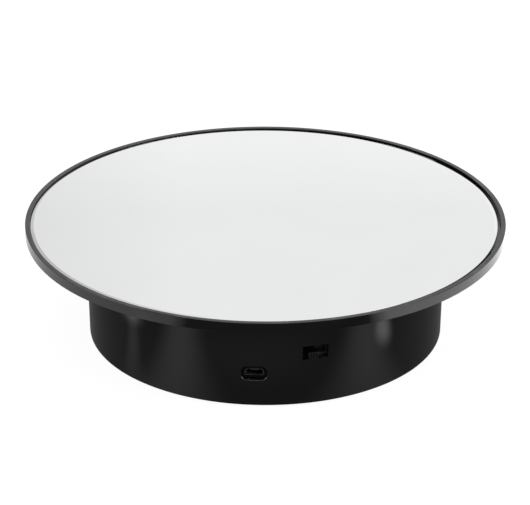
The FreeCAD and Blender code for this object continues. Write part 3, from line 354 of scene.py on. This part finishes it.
def gloss_black_moulding():
    """Deep gloss black plastic with hairlines, faint smears and a little dust."""
    paint = Finish("gloss_black_moulding", IOR=1.5)
    scratches = paint.put(SCRATCHES, "Mask", Amount=0.5)
    smears = paint.put(HANDLING, "Mask", Low=0.45, High=0.75)
    dust = paint.put(DUST, "Mask", Amount=0.9)
    wear = paint.put(EDGE_WEAR, "Mask", Width=0.00035, Amount=0.25)
    tone = paint.blend(wear, (0.0035, 0.0035, 0.0038, 1), (0.02, 0.02, 0.021, 1))
    paint.feed("Base Color", paint.blend(dust, tone, DUST_COLOUR))
    rough = ramp(paint.tree, smears, 0.0, 1.0, 0.07, 0.12)
    rough = calc(paint.tree, "ADD", rough, calc(paint.tree, "MULTIPLY", scratches, 0.16))
    rough = calc(paint.tree, "ADD", rough, calc(paint.tree, "MULTIPLY", dust, 0.5), clamp=True)
    paint.feed("Roughness", rough)
    ripple = paint.noise(90.0, 1.0)
    height = calc(paint.tree, "SUBTRACT", calc(paint.tree, "MULTIPLY", ripple, 0.25), scratches)
    paint.bump(height, 0.12, 0.00003)
    return paint.material


def satin_black_moulding(name="satin_black_moulding", tone=(0.018, 0.018, 0.019, 1),
                         worn=(0.05, 0.05, 0.05, 1), index=1.5, dustiness=0.5):
    """Satin black plastic with a pebbled mould grain."""
    paint = Finish(name, IOR=index)
    scratches = paint.put(SCRATCHES, "Mask", Amount=0.7)
    smears = paint.put(HANDLING, "Mask", Low=0.35, High=0.7)
    dust = paint.put(DUST, "Mask", Amount=dustiness)
    wear = paint.put(EDGE_WEAR, "Mask", Width=0.0004, Amount=0.7)
    marked = calc(paint.tree, "MAXIMUM", wear, calc(paint.tree, "MULTIPLY", scratches, 0.5))
    paint.feed("Base Color", paint.blend(dust, paint.blend(marked, tone, worn), DUST_COLOUR))
    paint.feed("Roughness", ramp(paint.tree, smears, 0.0, 1.0, 0.42, 0.58))
    height = calc(paint.tree, "SUBTRACT", paint.put(GRAIN, "Height"), scratches)
    paint.bump(height, 0.25, 0.00004)
    return paint.material


def mirror_silver():
    """Silvered glass: near-perfect reflection, a ground bevel and faint wiping marks."""
    paint = Finish("mirror_silver", Metallic=1.0)
    smears = paint.put(HANDLING, "Mask", Low=0.42, High=0.8)
    scratches = paint.put(SCRATCHES, "Mask", Amount=0.3, Stretch=90.0)
    dust = paint.put(DUST, "Mask", Amount=0.2)
    tone = paint.blend(smears, (0.945, 0.95, 0.952, 1), (0.93, 0.935, 0.935, 1))
    paint.feed("Base Color", paint.blend(dust, tone, (0.8, 0.8, 0.79, 1)))
    rough = ramp(paint.tree, smears, 0.0, 1.0, 0.012, 0.03)
    rough = calc(paint.tree, "ADD", rough, calc(paint.tree, "MULTIPLY", scratches, 0.05))
    paint.feed("Roughness", calc(paint.tree, "ADD", rough, calc(paint.tree, "MULTIPLY", dust, 0.3)))
    return paint.material


def foot_rubber():
    """Dull rubber, dusty and scuffed where it meets the table."""
    paint = Finish("foot_rubber", IOR=1.5)
    scuffs = paint.put(HANDLING, "Mask", Per_metre=180.0, Low=0.45, High=0.65)
    dust = paint.put(DUST, "Mask", Amount=0.9)
    tone = paint.blend(scuffs, (0.022, 0.022, 0.022, 1), (0.055, 0.054, 0.052, 1))
    paint.feed("Base Color", paint.blend(dust, tone, DUST_COLOUR))
    paint.feed("Roughness", ramp(paint.tree, scuffs, 0.0, 1.0, 0.72, 0.88))
    paint.bump(paint.put(GRAIN, "Height", Per_metre=3800.0), 0.5, 0.00008)
    return paint.material


def metal(name, tone, worn, rough, lines_per_metre=2200.0, depth=0.2):
    """Bare or plated metal with fine tool lines, rubbed edges and slight tarnish."""
    paint = Finish(name, Metallic=1.0)
    lines = paint.put(TOOL_LINES, "Tone", Per_metre=lines_per_metre)
    wear = paint.put(EDGE_WEAR, "Mask", Width=0.0002, Amount=0.8)
    stain = paint.put(HANDLING, "Mask", Per_metre=90.0)
    dull = tuple(c * 0.72 for c in tone[:3]) + (1,)
    paint.feed("Base Color", paint.blend(wear, paint.blend(stain, tone, dull), worn))
    varied = calc(paint.tree, "ADD", ramp(paint.tree, lines, 0.0, 1.0, rough * 0.8, rough * 1.2),
                  calc(paint.tree, "MULTIPLY", stain, 0.08))
    paint.feed("Roughness", varied)
    paint.bump(paint.put(TOOL_LINES, "Height", Per_metre=lines_per_metre), depth, 0.00002)
    return paint.material


def plain_moulding(name, tone, shade, rough):
    """Unpainted engineering plastic with flow marks, fine grain and dust."""
    paint = Finish(name, IOR=1.49)
    flow = paint.put(HANDLING, "Mask", Per_metre=70.0)
    dust = paint.put(DUST, "Mask", Amount=0.4)
    wear = paint.put(EDGE_WEAR, "Mask", Width=0.0003, Amount=0.35)
    flowed = paint.blend(flow, tone, shade)
    paint.feed("Base Color", paint.blend(dust, paint.blend(wear, flowed, tone), DUST_COLOUR))
    paint.feed("Roughness", ramp(paint.tree, flow, 0.0, 1.0, rough * 0.85, rough * 1.15))
    paint.bump(paint.put(GRAIN, "Height", Per_metre=3200.0), 0.12, 0.00003)
    return paint.material


def foam():
    """Open white foam tape."""
    paint = Finish("foam_tape", IOR=1.4)
    pores = paint.noise(3500.0, 4.0)
    open_cells = ramp(paint.tree, pores, 0.4, 0.6)
    paint.feed("Base Color", paint.blend(open_cells, (0.55, 0.55, 0.53, 1), (0.8, 0.8, 0.78, 1)))
    paint.feed("Roughness", ramp(paint.tree, pores, 0.3, 0.7, 0.8, 0.95))
    paint.bump(pores, 0.7, 0.0001)
    return paint.material


def circuit_lacquer():
    """Green lacquered board with copper tracks showing through."""
    paint = Finish("circuit_lacquer", IOR=1.52, Coat_Weight=0.4)
    place = add(paint.tree, "ShaderNodeTexCoord").outputs["Object"]
    tracks = add(paint.tree, "ShaderNodeTexBrick", {
        "Vector": place, "Scale": 420.0, "Mortar Size": 0.09,
        "Color1": (0, 0, 0, 1), "Color2": (0, 0, 0, 1), "Mortar": (1, 1, 1, 1)})
    drift = paint.noise(300.0)
    tone = paint.blend(tracks.outputs["Fac"], (0.012, 0.075, 0.032, 1), (0.03, 0.15, 0.06, 1))
    clouded = ramp(paint.tree, drift, 0.4, 0.7, 0.0, 0.3)
    paint.feed("Base Color", paint.blend(clouded, tone, (0.02, 0.1, 0.045, 1)))
    paint.feed("Roughness", ramp(paint.tree, drift, 0.3, 0.7, 0.18, 0.32))
    paint.bump(tracks.outputs["Fac"], 0.3, 0.00005)
    return paint.material


def winding():
    """Enamelled copper wire laid side by side."""
    paint = Finish("copper_winding", Metallic=1.0)
    place = add(paint.tree, "ShaderNodeTexCoord").outputs["Object"]
    turns = add(paint.tree, "ShaderNodeTexWave", {"Vector": place, "Scale": 900.0, "Distortion": 0.4},
                bands_direction="Z").outputs["Fac"]
    paint.feed("Base Color", paint.blend(turns, (0.20, 0.07, 0.03, 1), (0.62, 0.26, 0.11, 1)))
    paint.feed("Roughness", ramp(paint.tree, turns, 0.0, 1.0, 0.4, 0.25))
    paint.bump(turns, 0.6, 0.0001)
    return paint.material


FINISHES = {
    "gloss_black_plastic": gloss_black_moulding(),
    "satin_black_plastic": satin_black_moulding(),
    "mirror_glass": mirror_silver(),
    "foot_rubber": foot_rubber(),
    "foam_tape": foam(),
    "circuit_board": circuit_lacquer(),
    "wound_copper": winding(),
    "plated_steel": metal("plated_steel", (0.56, 0.56, 0.57, 1), (0.78, 0.78, 0.79, 1), 0.26),
    "ball_steel": metal("ball_steel", (0.66, 0.67, 0.69, 1), (0.8, 0.8, 0.82, 1), 0.08, 600.0, 0.05),
    "bronze": metal("sintered_bronze", (0.52, 0.33, 0.14, 1), (0.72, 0.52, 0.28, 1), 0.36),
    "capacitor_can": metal("capacitor_can", (0.68, 0.69, 0.71, 1), (0.82, 0.82, 0.84, 1), 0.3),
    "magnet_ferrite": plain_moulding("magnet_ferrite", (0.05, 0.05, 0.052, 1), (0.09, 0.085, 0.08, 1), 0.55),
    "grey_acetal": plain_moulding("grey_acetal", (0.24, 0.25, 0.26, 1), (0.19, 0.2, 0.21, 1), 0.42),
    "white_acetal": plain_moulding("white_acetal", (0.76, 0.76, 0.72, 1), (0.68, 0.68, 0.63, 1), 0.38),
    "red_insulation": plain_moulding("red_insulation", (0.45, 0.02, 0.02, 1), (0.34, 0.015, 0.015, 1), 0.4),
    "black_insulation": plain_moulding("black_insulation", (0.02, 0.02, 0.02, 1), (0.035, 0.035, 0.035, 1),
                                       0.4),
}
SLOT_OF = {part["node"]: part["material_slot"] for part in frame["record"]["subparts"]}
for node_name, node in frame["nodes"].items():
    node.data.materials.clear()
    node.data.materials.append(FINISHES[SLOT_OF[node_name]])


# ---------------------------------------------------------------- platter
def platter_tray():
    """Lip, outer face, recess, hub and relief, turned in one with a softened rim, and the ribs underneath."""
    floor = MIRROR_LOW.z / MM - TAPE
    ring_inner, relief_inner, relief_top = RIM_R - RING, BASE_TOP_R + 3, WEB_UNDER + RELIEF
    tray = lathe([
        (0, floor), (RIM_R - LIP, floor), (RIM_R - LIP, RIM_TOP), (RIM_R, RIM_TOP), (RIM_R, WEB_UNDER),
        (ring_inner, WEB_UNDER), (ring_inner, relief_top), (relief_inner, relief_top),
        (relief_inner, WEB_UNDER), (HUB_R, WEB_UNDER), (HUB_R, HUB_UNDER), (0, HUB_UNDER)], 288)
    soften(tray, 0.22, 3, where=lambda e: e.verts[0].co.xy.length > (ring_inner - 0.1) * MM)
    count = 12
    step = 360 / count
    ribs = []
    for k in range(count):
        rib = soften(block((14.5, 1.4, 1.6), (47.75, 0, WEB_UNDER - 0.6)), 0.25, 2)
        ribs.append(turn(rib, math.radians(step * k + step / 2)))
    return join(tray, *ribs)


def mirror_disc():
    """Mirror with a shallow ground bevel; it lies a little off the middle of its recess."""
    low, high = MIRROR_LOW.z / MM, MIRROR_HIGH.z / MM
    middle = (MIRROR_LOW.x + MIRROR_HIGH.x) / 2 / MM
    radius = (MIRROR_HIGH.x - MIRROR_LOW.x) / 2 / MM
    bevel_in, bevel_down = 1.3, 0.28
    disc = lathe([
        (0, low), (radius, low), (radius, high - bevel_down), (radius - bevel_in, high), (0, high)], 288)
    soften(disc, 0.05, 2, sharper_than=8)
    return shift(disc, (middle, 0, 0))


gloss = FINISHES["gloss_black_plastic"]
piece("platter_tray", platter_tray(), "platter", gloss, ["platter_disc"])
piece("mirror_disc", mirror_disc(), "platter", FINISHES["mirror_glass"], ["mirror_plate"],
      smooth=8)


# ---------------------------------------------------------------- base
SOCKET_LOW, SOCKET_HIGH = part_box("usb_socket_shell")
PLUG_WIDTH, PLUG_HEIGHT = 7.5, 2.7
SOCKET_Z = SOCKET_HIGH.z / MM - PLUG_HEIGHT / 2
POCKET_FLOOR_Y = SOCKET_LOW.y / MM + 0.1
SLIDE = next(joint["axis"] for joint in frame["joints"] if joint["name"] == "switch_slide")
SWITCH_TURN = math.atan2(SLIDE[1], SLIDE[0])
KNOB_LOW, KNOB_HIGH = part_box("switch_knob")
KNOB_X = (KNOB_LOW + KNOB_HIGH).xy.dot(Vector(SLIDE[:2])) / 2 / MM
KNOB_Z = (KNOB_LOW.z + KNOB_HIGH.z) / 2 / MM
WINDOW_Z = KNOB_Z + 1.0


def wall_radius(z):
    """Outer radius of the tapered wall at a height."""
    return BASE_FOOT_R + (BASE_TOP_R - BASE_FOOT_R) * (z - BASE_FOOT_Z) / (BASE_TOP_Z - BASE_FOOT_Z)


POCKET_MOUTH_Y = -wall_radius(SOCKET_Z)
WALL_FACE_R = wall_radius(WINDOW_Z)


def flared_cutter(half_x, half_z, corner, floor_y, mouth_y, flare, at_z):
    """Round-cornered prism along Y whose outer end opens out in a quarter round at the wall's face."""
    depth = floor_y - mouth_y - flare
    cutter = block((2 * half_x, depth, 2 * half_z), (0, floor_y - depth / 2, 0))
    upright = [e for e in cutter.edges if abs((e.verts[0].co - e.verts[1].co).normalized().y) > 0.9]
    bmesh.ops.bevel(cutter, geom=upright, offset=corner * MM, offset_type="OFFSET", affect="EDGES",
                    segments=8, profile=0.5, material=-1)
    cap = min(cutter.faces, key=lambda face: face.calc_center_median().y)
    steps = 4
    grown = 0.0
    for k in range(1, steps + 2):
        bend = math.radians(90 * min(k, steps) / steps)
        out = flare * (1 - math.cos(bend))
        reach = flare * (math.sin(bend) - math.sin(math.radians(90 * (k - 1) / steps))) if k <= steps else 4.0
        moved = bmesh.ops.extrude_discrete_faces(cutter, faces=[cap])["faces"][0]
        factor_x = (half_x + out) / (half_x + grown)
        factor_z = (half_z + out) / (half_z + grown)
        bmesh.ops.scale(cutter, vec=(factor_x, 1, factor_z), verts=moved.verts)
        bmesh.ops.translate(cutter, vec=(0, -reach * MM, 0), verts=moved.verts)
        cap, grown = moved, out
    bmesh.ops.recalc_face_normals(cutter, faces=cutter.faces)
    return shift(cutter, (0, 0, at_z))


def plug_prism(grow, y0, y1, corner):
    """Closed prism along Y with the socket's outline: chamfered on top, then rounded all along."""
    size = (PLUG_WIDTH + 2 * grow, y1 - y0, PLUG_HEIGHT + 2 * grow)
    prism = block(size, (0, (y0 + y1) / 2, SOCKET_Z))
    chamfer = 1.1
    for width, steps, above in ((chamfer, 1, SOCKET_Z), (corner, 4, 0.0)):
        along = [e for e in prism.edges if abs((e.verts[0].co - e.verts[1].co).normalized().y) > 0.9
                 and e.verts[0].co.z > above * MM]
        bmesh.ops.bevel(prism, geom=along, offset=width * MM, offset_type="OFFSET", affect="EDGES",
                        segments=steps, profile=0.5, material=-1)
    bmesh.ops.recalc_face_normals(prism, faces=prism.faces)
    return prism


def base_drum():
    """Tapered wall with the race ring and sunk deck, and its two openings with rounded mouths."""
    groove = 1.05
    shoulder = 0.78
    race_top = BALL_Z - groove
    race_under = race_top - 2.4
    drum = lathe([
        (4.0, 38.9), (7.0, 38.9), (7.0, 38.4), (48.0, 38.4), (48.0, race_top), (58.9, race_top),
        (59.8, race_top - shoulder), (61.0, race_top - groove), (62.2, race_top - shoulder), (63.1, race_top),
        (BASE_TOP_R - WALL, race_top), (BASE_TOP_R - WALL, BASE_TOP_Z), (BASE_TOP_R, BASE_TOP_Z),
        (BASE_FOOT_R, BASE_FOOT_Z), (BASE_FOOT_R - WALL, BASE_FOOT_Z), (BASE_TOP_R - WALL - 0.1, race_under),
        (50.0, race_under), (50.0, 36.0), (7.0, 36.0), (7.0, 24.0), (4.0, 24.0)], 360)
    soften(drum, 0.5, 4, where=lambda e: min(v.co.xy.length for v in e.verts) > (BASE_FOOT_R - 1.0) * MM)
    drum = combine(drum, "UNION", block((15.2, 1.9, 9.2), (0, -72.15, SOCKET_Z)))
    pocket = flared_cutter(5.1, 2.6, 2.1, POCKET_FLOOR_Y, POCKET_MOUTH_Y, 0.95, SOCKET_Z)
    window = flared_cutter(5.35, 2.9, 0.35, -68.0, -WALL_FACE_R, 0.2, WINDOW_Z)
    hole = plug_prism(0.15, -75.0, -70.0, 0.35)
    return combine(drum, "DIFFERENCE", pocket, hole, turn(window, SWITCH_TURN))


def socket_shell():
    """Folded steel shell of the charging socket: thin-walled, rolled at its corners, open to the front."""
    front, back = SOCKET_LOW.y / MM, SOCKET_HIGH.y / MM
    shell = plug_prism(0.0, front, back, 0.42)
    mouth = min(shell.faces, key=lambda face: face.calc_center_median().y)
    bmesh.ops.delete(shell, geom=[mouth], context="FACES_ONLY")
    bmesh.ops.solidify(shell, geom=shell.faces, thickness=-0.25 * MM)
    bmesh.ops.recalc_face_normals(shell, faces=shell.faces)
    legs = [soften(block((1.0, 1.8, 2.7), (side * 3.6, front + 3.3, SOCKET_Z - 1.2 - 1.35)), 0.12, 2)
            for side in (-1, 1)]
    return join(shell, *legs)


def contact_tongue():
    """Moulded tongue and its root, inside the socket."""
    front, back = SOCKET_LOW.y / MM + 0.9, SOCKET_HIGH.y / MM - 0.3
    tongue = soften(block((3.8, back - front, 0.65), (0, (front + back) / 2, SOCKET_Z + 0.425)), 0.1, 2)
    root = soften(block((4.6, 1.0, 1.9), (0, back - 0.5, SOCKET_Z - 0.05)), 0.1, 2)
    return join(tongue, root)


def contact_strips():
    """Five sprung contacts along the underside of the tongue."""
    front, back = SOCKET_LOW.y / MM + 1.1, SOCKET_HIGH.y / MM - 1.4
    middle, pitch = (front + back) / 2, 0.65
    strips = [soften(block((0.38, back - front, 0.14), (pitch * k, middle, SOCKET_Z + 0.06)), 0.05, 2)
              for k in range(-2, 3)]
    return join(*strips)


def slider_knob():
    """Switch slider: a head with four rounded ribs across its front, on a stem that runs into the housing."""
    front, neck, back = -75.9, -71.8, -68.2
    head = soften(block((4.0, neck - front - 0.4, 3.0), (KNOB_X, (front + 0.4 + neck) / 2, KNOB_Z)), 0.22, 3)
    stem_front = neck - 0.3
    stem = block((3.8, back - stem_front, 2.1), (KNOB_X, (stem_front + back) / 2, KNOB_Z + 0.4))
    soften(stem, 0.1, 2)
    ribs = [soften(block((0.62, 0.9, 2.86), (KNOB_X + x, front + 0.45, KNOB_Z)), 0.2, 3)
            for x in (-1.56, -0.52, 0.52, 1.56)]
    return turn(join(head, stem, *ribs), SWITCH_TURN)


def foot_pad(centre, under):
    """Rubber foot with a domed edge and two shallow rings moulded in its underside."""
    thick, sunk = 1.6, 0.22
    pad = lathe([(0, thick), (6.0, thick), (6.0, 0.5), (5.5, 0.0),
                 (4.4, 0.0), (4.2, sunk), (3.8, sunk), (3.6, 0.0),
                 (2.4, 0.0), (2.2, sunk), (1.8, sunk), (1.6, 0.0), (0, 0.0)], 72)
    soften(pad, 0.12, 2, sharper_than=20)
    return shift(pad, (centre.x / MM, centre.y / MM, under))


def refine(node, width, sharper_than=30.0):
    """Welds a carried-over node's triangles and rounds its edges, without touching its mesh."""
    weld = node.modifiers.new("weld", "WELD")
    weld.merge_threshold = 1e-6
    flat = node.modifiers.new("flat_faces", "DECIMATE")
    flat.decimate_type, flat.angle_limit = "DISSOLVE", math.radians(0.5)
    edge = node.modifiers.new("round_edges", "BEVEL")
    edge.width, edge.segments, edge.limit_method = width * MM, 2, "ANGLE"
    edge.angle_limit, edge.harden_normals = math.radians(sharper_than), True
    edge.use_clamp_overlap = True


def recess_shade_plate():
    """Matt face plate at the bottom of the charging recess, with the socket's hole in it; its near-black, weakly
    reflecting finish is painted shade of the deep recess.
    """
    plate = block((10.0, 0.16, 5.0), (0, POCKET_FLOOR_Y - 0.09, SOCKET_Z))
    upright = [e for e in plate.edges if abs((e.verts[0].co - e.verts[1].co).normalized().y) > 0.9]
    bmesh.ops.bevel(plate, geom=upright, offset=2.0 * MM, offset_type="OFFSET", affect="EDGES", segments=8,
                    profile=0.5, material=-1)
    return combine(plate, "DIFFERENCE", plug_prism(0.12, -75.0, -70.0, 0.35))


def true_wall_normals(obj):
    """Gives the outer wall the normals of its cone, so that its openings don't disturb the reflections."""
    mesh = obj.data
    slope = math.atan2(BASE_TOP_R - BASE_FOOT_R, BASE_TOP_Z - BASE_FOOT_Z)
    normals = [Vector(corner.vector) for corner in mesh.corner_normals]
    for face in mesh.polygons:
        outward = Vector((face.center.x, face.center.y, 0)).normalized()
        on_wall = all(abs(mesh.vertices[v].co.xy.length / MM - wall_radius(mesh.vertices[v].co.z / MM)) < 0.02
                      for v in face.vertices)
        if not on_wall or face.normal.dot(outward) < 0.9:
            continue
        for corner, vertex in zip(face.loop_indices, face.vertices):
            around = Vector((*mesh.vertices[vertex].co.xy, 0)).normalized()
            normals[corner] = around * math.cos(slope) - Vector((0, 0, math.sin(slope)))
    mesh.normals_split_custom_set(normals)


satin = FINISHES["satin_black_plastic"]
# A darker copy of the plated steel, about half its tone, matched to how dark the socket shell looks.
darker_steel = metal("darker_plated_steel", (0.27, 0.27, 0.28, 1), (0.42, 0.42, 0.43, 1), 0.36)
# Near-black copy of the satin black with a low index, so that it hardly reflects: painted shade for the bottom of
# the charging recess.
recess_shade_black = satin_black_moulding("painted_recess_shade", (0.002, 0.002, 0.002, 1), (0.006, 0.006, 0.006, 1),
                            index=1.22, dustiness=0.1)
true_wall_normals(piece("base_drum", base_drum(), "base", gloss, ["base_shell"],
                        even=False))
piece("recess_shade_plate", recess_shade_plate(), "base", recess_shade_black)
piece("socket_shell", socket_shell(), "base", darker_steel, ["usb_socket_shell"])
piece("contact_tongue", contact_tongue(), "base", satin, ["usb_contact_tongue"])
piece("contact_strips", contact_strips(), "base", FINISHES["bronze"])
piece("slider_knob", slider_knob(), "switch_slider", gloss, ["switch_knob"])
for number in range(1, 5):
    low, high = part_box(f"rubber_foot_{number}")
    piece(f"foot_pad_{number}", foot_pad((low + high) / 2, low.z / MM), "base",
          FINISHES["foot_rubber"], [f"rubber_foot_{number}"])
for name, width in (("bottom_cover", 0.25), ("battery_door", 0.2)):
    refine(frame["nodes"][name], width)

# ---------------------------------------------------------------- studio
WHITE = (1, 1, 1, 1)

# Soft pools of light on the floor, which the gloss black shows as streaks: the place in millimetres, the
# direction in degrees, half the length and half the width, and how bright.
POOLS = (
    (-66, -96, 40, 75, 20, 0.42),
    (88, -76, -19, 75, 20, 0.36),
    (-114, -50, -50, 18, 9, 1.0),
    (-90, -54, 0, 46, 6, 0.2),
    (103, -59, -7, 15, 9, 1.3),
    (0, -118, 0, 60, 26, 0.07),
    (8, -160, 0, 95, 12, -0.13),
)


def studio_floor():
    """Wide pale floor, bright to the eye, with quieter pools of light in what the gloss black reflects.

    It lies a hair under the feet and is clear from below, so the underside can be looked at.
    """
    bm = bmesh.new()
    bmesh.ops.create_circle(bm, cap_ends=True, radius=4.0, segments=96)
    bm.normal_update()
    bmesh.ops.reverse_faces(bm, faces=[face for face in bm.faces if face.normal.z < 0])
    under_feet = -0.02
    shift(bm, (0, 0, under_feet))
    mesh = bpy.data.meshes.new("studio_floor")
    bm.to_mesh(mesh)
    bm.free()
    floor = bpy.data.objects.new("studio_floor", mesh)
    bpy.context.scene.collection.objects.link(floor)
    material = bpy.data.materials.new("studio_floor")
    material.use_nodes = True
    tree = material.node_tree
    tree.nodes.clear()
    place = add(tree, "ShaderNodeTexCoord").outputs["Object"]
    total = 0.13
    for x, y, direction, half_long, half_wide, strength in POOLS:
        local = add(tree, "ShaderNodeMapping", {
            "Vector": place, "Location": (x * MM, y * MM, 0), "Rotation": (0, 0, math.radians(direction)),
            "Scale": (half_long * MM, half_wide * MM, 1)}, vector_type="TEXTURE")
        away = add(tree, "ShaderNodeVectorMath", {0: local.outputs[0]}, operation="LENGTH").outputs["Value"]
        fall = add(tree, "ShaderNodeMapRange", {
            "Value": away, "From Min": 1.6, "From Max": 0.0, "To Max": strength},
            interpolation_type="SMOOTHERSTEP")
        total = calc(tree, "ADD", fall.outputs["Result"], total)
    reach = add(tree, "ShaderNodeVectorMath", {0: place}, operation="LENGTH").outputs["Value"]
    sideways = calc(tree, "DIVIDE", add(tree, "ShaderNodeSeparateXYZ", {0: place}).outputs[0], reach)
    left = ramp(tree, sideways, -0.40, -0.50, 0.0, 0.85)
    right = ramp(tree, sideways, 0.64, 0.74, 0.0, 1.8)
    band = calc(tree, "MULTIPLY", ramp(tree, reach, 0.130, 0.150), ramp(tree, reach, 0.30, 0.22))
    total = calc(tree, "ADD", total, calc(tree, "MULTIPLY", band, calc(tree, "ADD", left, right)))
    seen = add(tree, "ShaderNodeLightPath").outputs["Is Camera Ray"]
    pale = add(tree, "ShaderNodeBsdfDiffuse", {"Color": (0.12, 0.12, 0.12, 1)})
    lift = add(tree, "ShaderNodeEmission", {"Color": WHITE, "Strength": 0.93})
    bright = add(tree, "ShaderNodeAddShader", {0: pale.outputs[0], 1: lift.outputs[0]})
    quiet = add(tree, "ShaderNodeEmission", {"Color": WHITE, "Strength": total})
    both = add(tree, "ShaderNodeMixShader", {0: seen, 1: quiet.outputs[0], 2: bright.outputs[0]})
    beneath = add(tree, "ShaderNodeNewGeometry").outputs["Backfacing"]
    clear = add(tree, "ShaderNodeBsdfTransparent")
    surface = add(tree, "ShaderNodeMixShader", {0: beneath, 1: both.outputs[0], 2: clear.outputs[0]})
    add(tree, "ShaderNodeOutputMaterial", {0: surface.outputs[0]})
    mesh.materials.append(material)


def soft_light(name, at, aim, size, power):
    """Rectangular soft light, out of the camera's sight."""
    data = bpy.data.lights.new(name, "AREA")
    data.shape, data.size, data.size_y, data.energy = "RECTANGLE", size[0], size[1], power
    light = bpy.data.objects.new(name, data)
    light.location = at
    light.rotation_mode = "QUATERNION"
    light.rotation_quaternion = (Vector(aim) - Vector(at)).to_track_quat("-Z", "Y")
    light.visible_camera = False
    bpy.context.scene.collection.objects.link(light)


def studio_air():
    """Even light from all round, a little dimmer to the left and stronger towards the horizon behind."""
    world = bpy.data.worlds.new("studio")
    bpy.context.scene.world = world
    world.use_nodes = True
    tree = world.node_tree
    way = add(tree, "ShaderNodeSeparateXYZ", {0: add(tree, "ShaderNodeTexCoord").outputs["Generated"]})
    across = ramp(tree, way.outputs[0], -0.135, -0.085, 0.785, 0.86)
    level = ramp(tree, way.outputs[2], 0.405, 0.385, 0.0, 0.06)
    side = ramp(tree, way.outputs[0], -0.30, -0.15, -0.27, 0.0)
    strength = calc(tree, "ADD", calc(tree, "ADD", across, level), side)
    tree.links.new(strength, tree.nodes["Background"].inputs["Strength"])
    tree.nodes["Background"].inputs["Color"].default_value = WHITE


def studio():
    """Air, floor and three soft lights, shown without any change of tone."""
    studio_air()
    studio_floor()
    soft_light("overhead", (0.1, -0.05, 1.3), (0, 0, 0), (1.2, 1.2), 6.0)
    soft_light("left_box", (-1.05, -0.31, 0.48), (0, 0, 0.03), (0.7, 0.7), 6.0)
    soft_light("right_box", (0.99, -0.40, 0.55), (0, 0, 0.03), (0.7, 0.7), 6.0)
    scene = bpy.context.scene
    scene.view_settings.view_transform = "Standard"
    scene.view_settings.look = "None"
    scene.view_settings.exposure = 0.0
    scene.view_settings.gamma = 1.0


def camera():
    """Long lens, looking down on the stand from the socket's side."""
    azimuth, height = math.radians(3.44), math.radians(24.84)
    distance, roll = 1.1686, 0.002
    right = Vector((math.cos(azimuth), math.sin(azimuth), 0))
    level = Vector((math.sin(azimuth), -math.cos(azimuth), 0))
    back = level * math.cos(height) + Vector((0, 0, math.sin(height)))
    target = right * -0.00015 + Vector((0, 0, 0.0338))
    data = bpy.data.cameras.new("camera")
    data.sensor_width, data.lens = 36.0, 189.2
    data.clip_start, data.clip_end = 0.05, 20.0
    cam = bpy.data.objects.new("camera", data)
    cam.location = target + back * distance
    cam.rotation_mode = "QUATERNION"
    cam.rotation_quaternion = (-back).to_track_quat("-Z", "Y") @ Quaternion((0, 0, 1), roll)
    bpy.context.scene.collection.objects.link(cam)
    bpy.context.scene.camera = cam


studio()
camera()
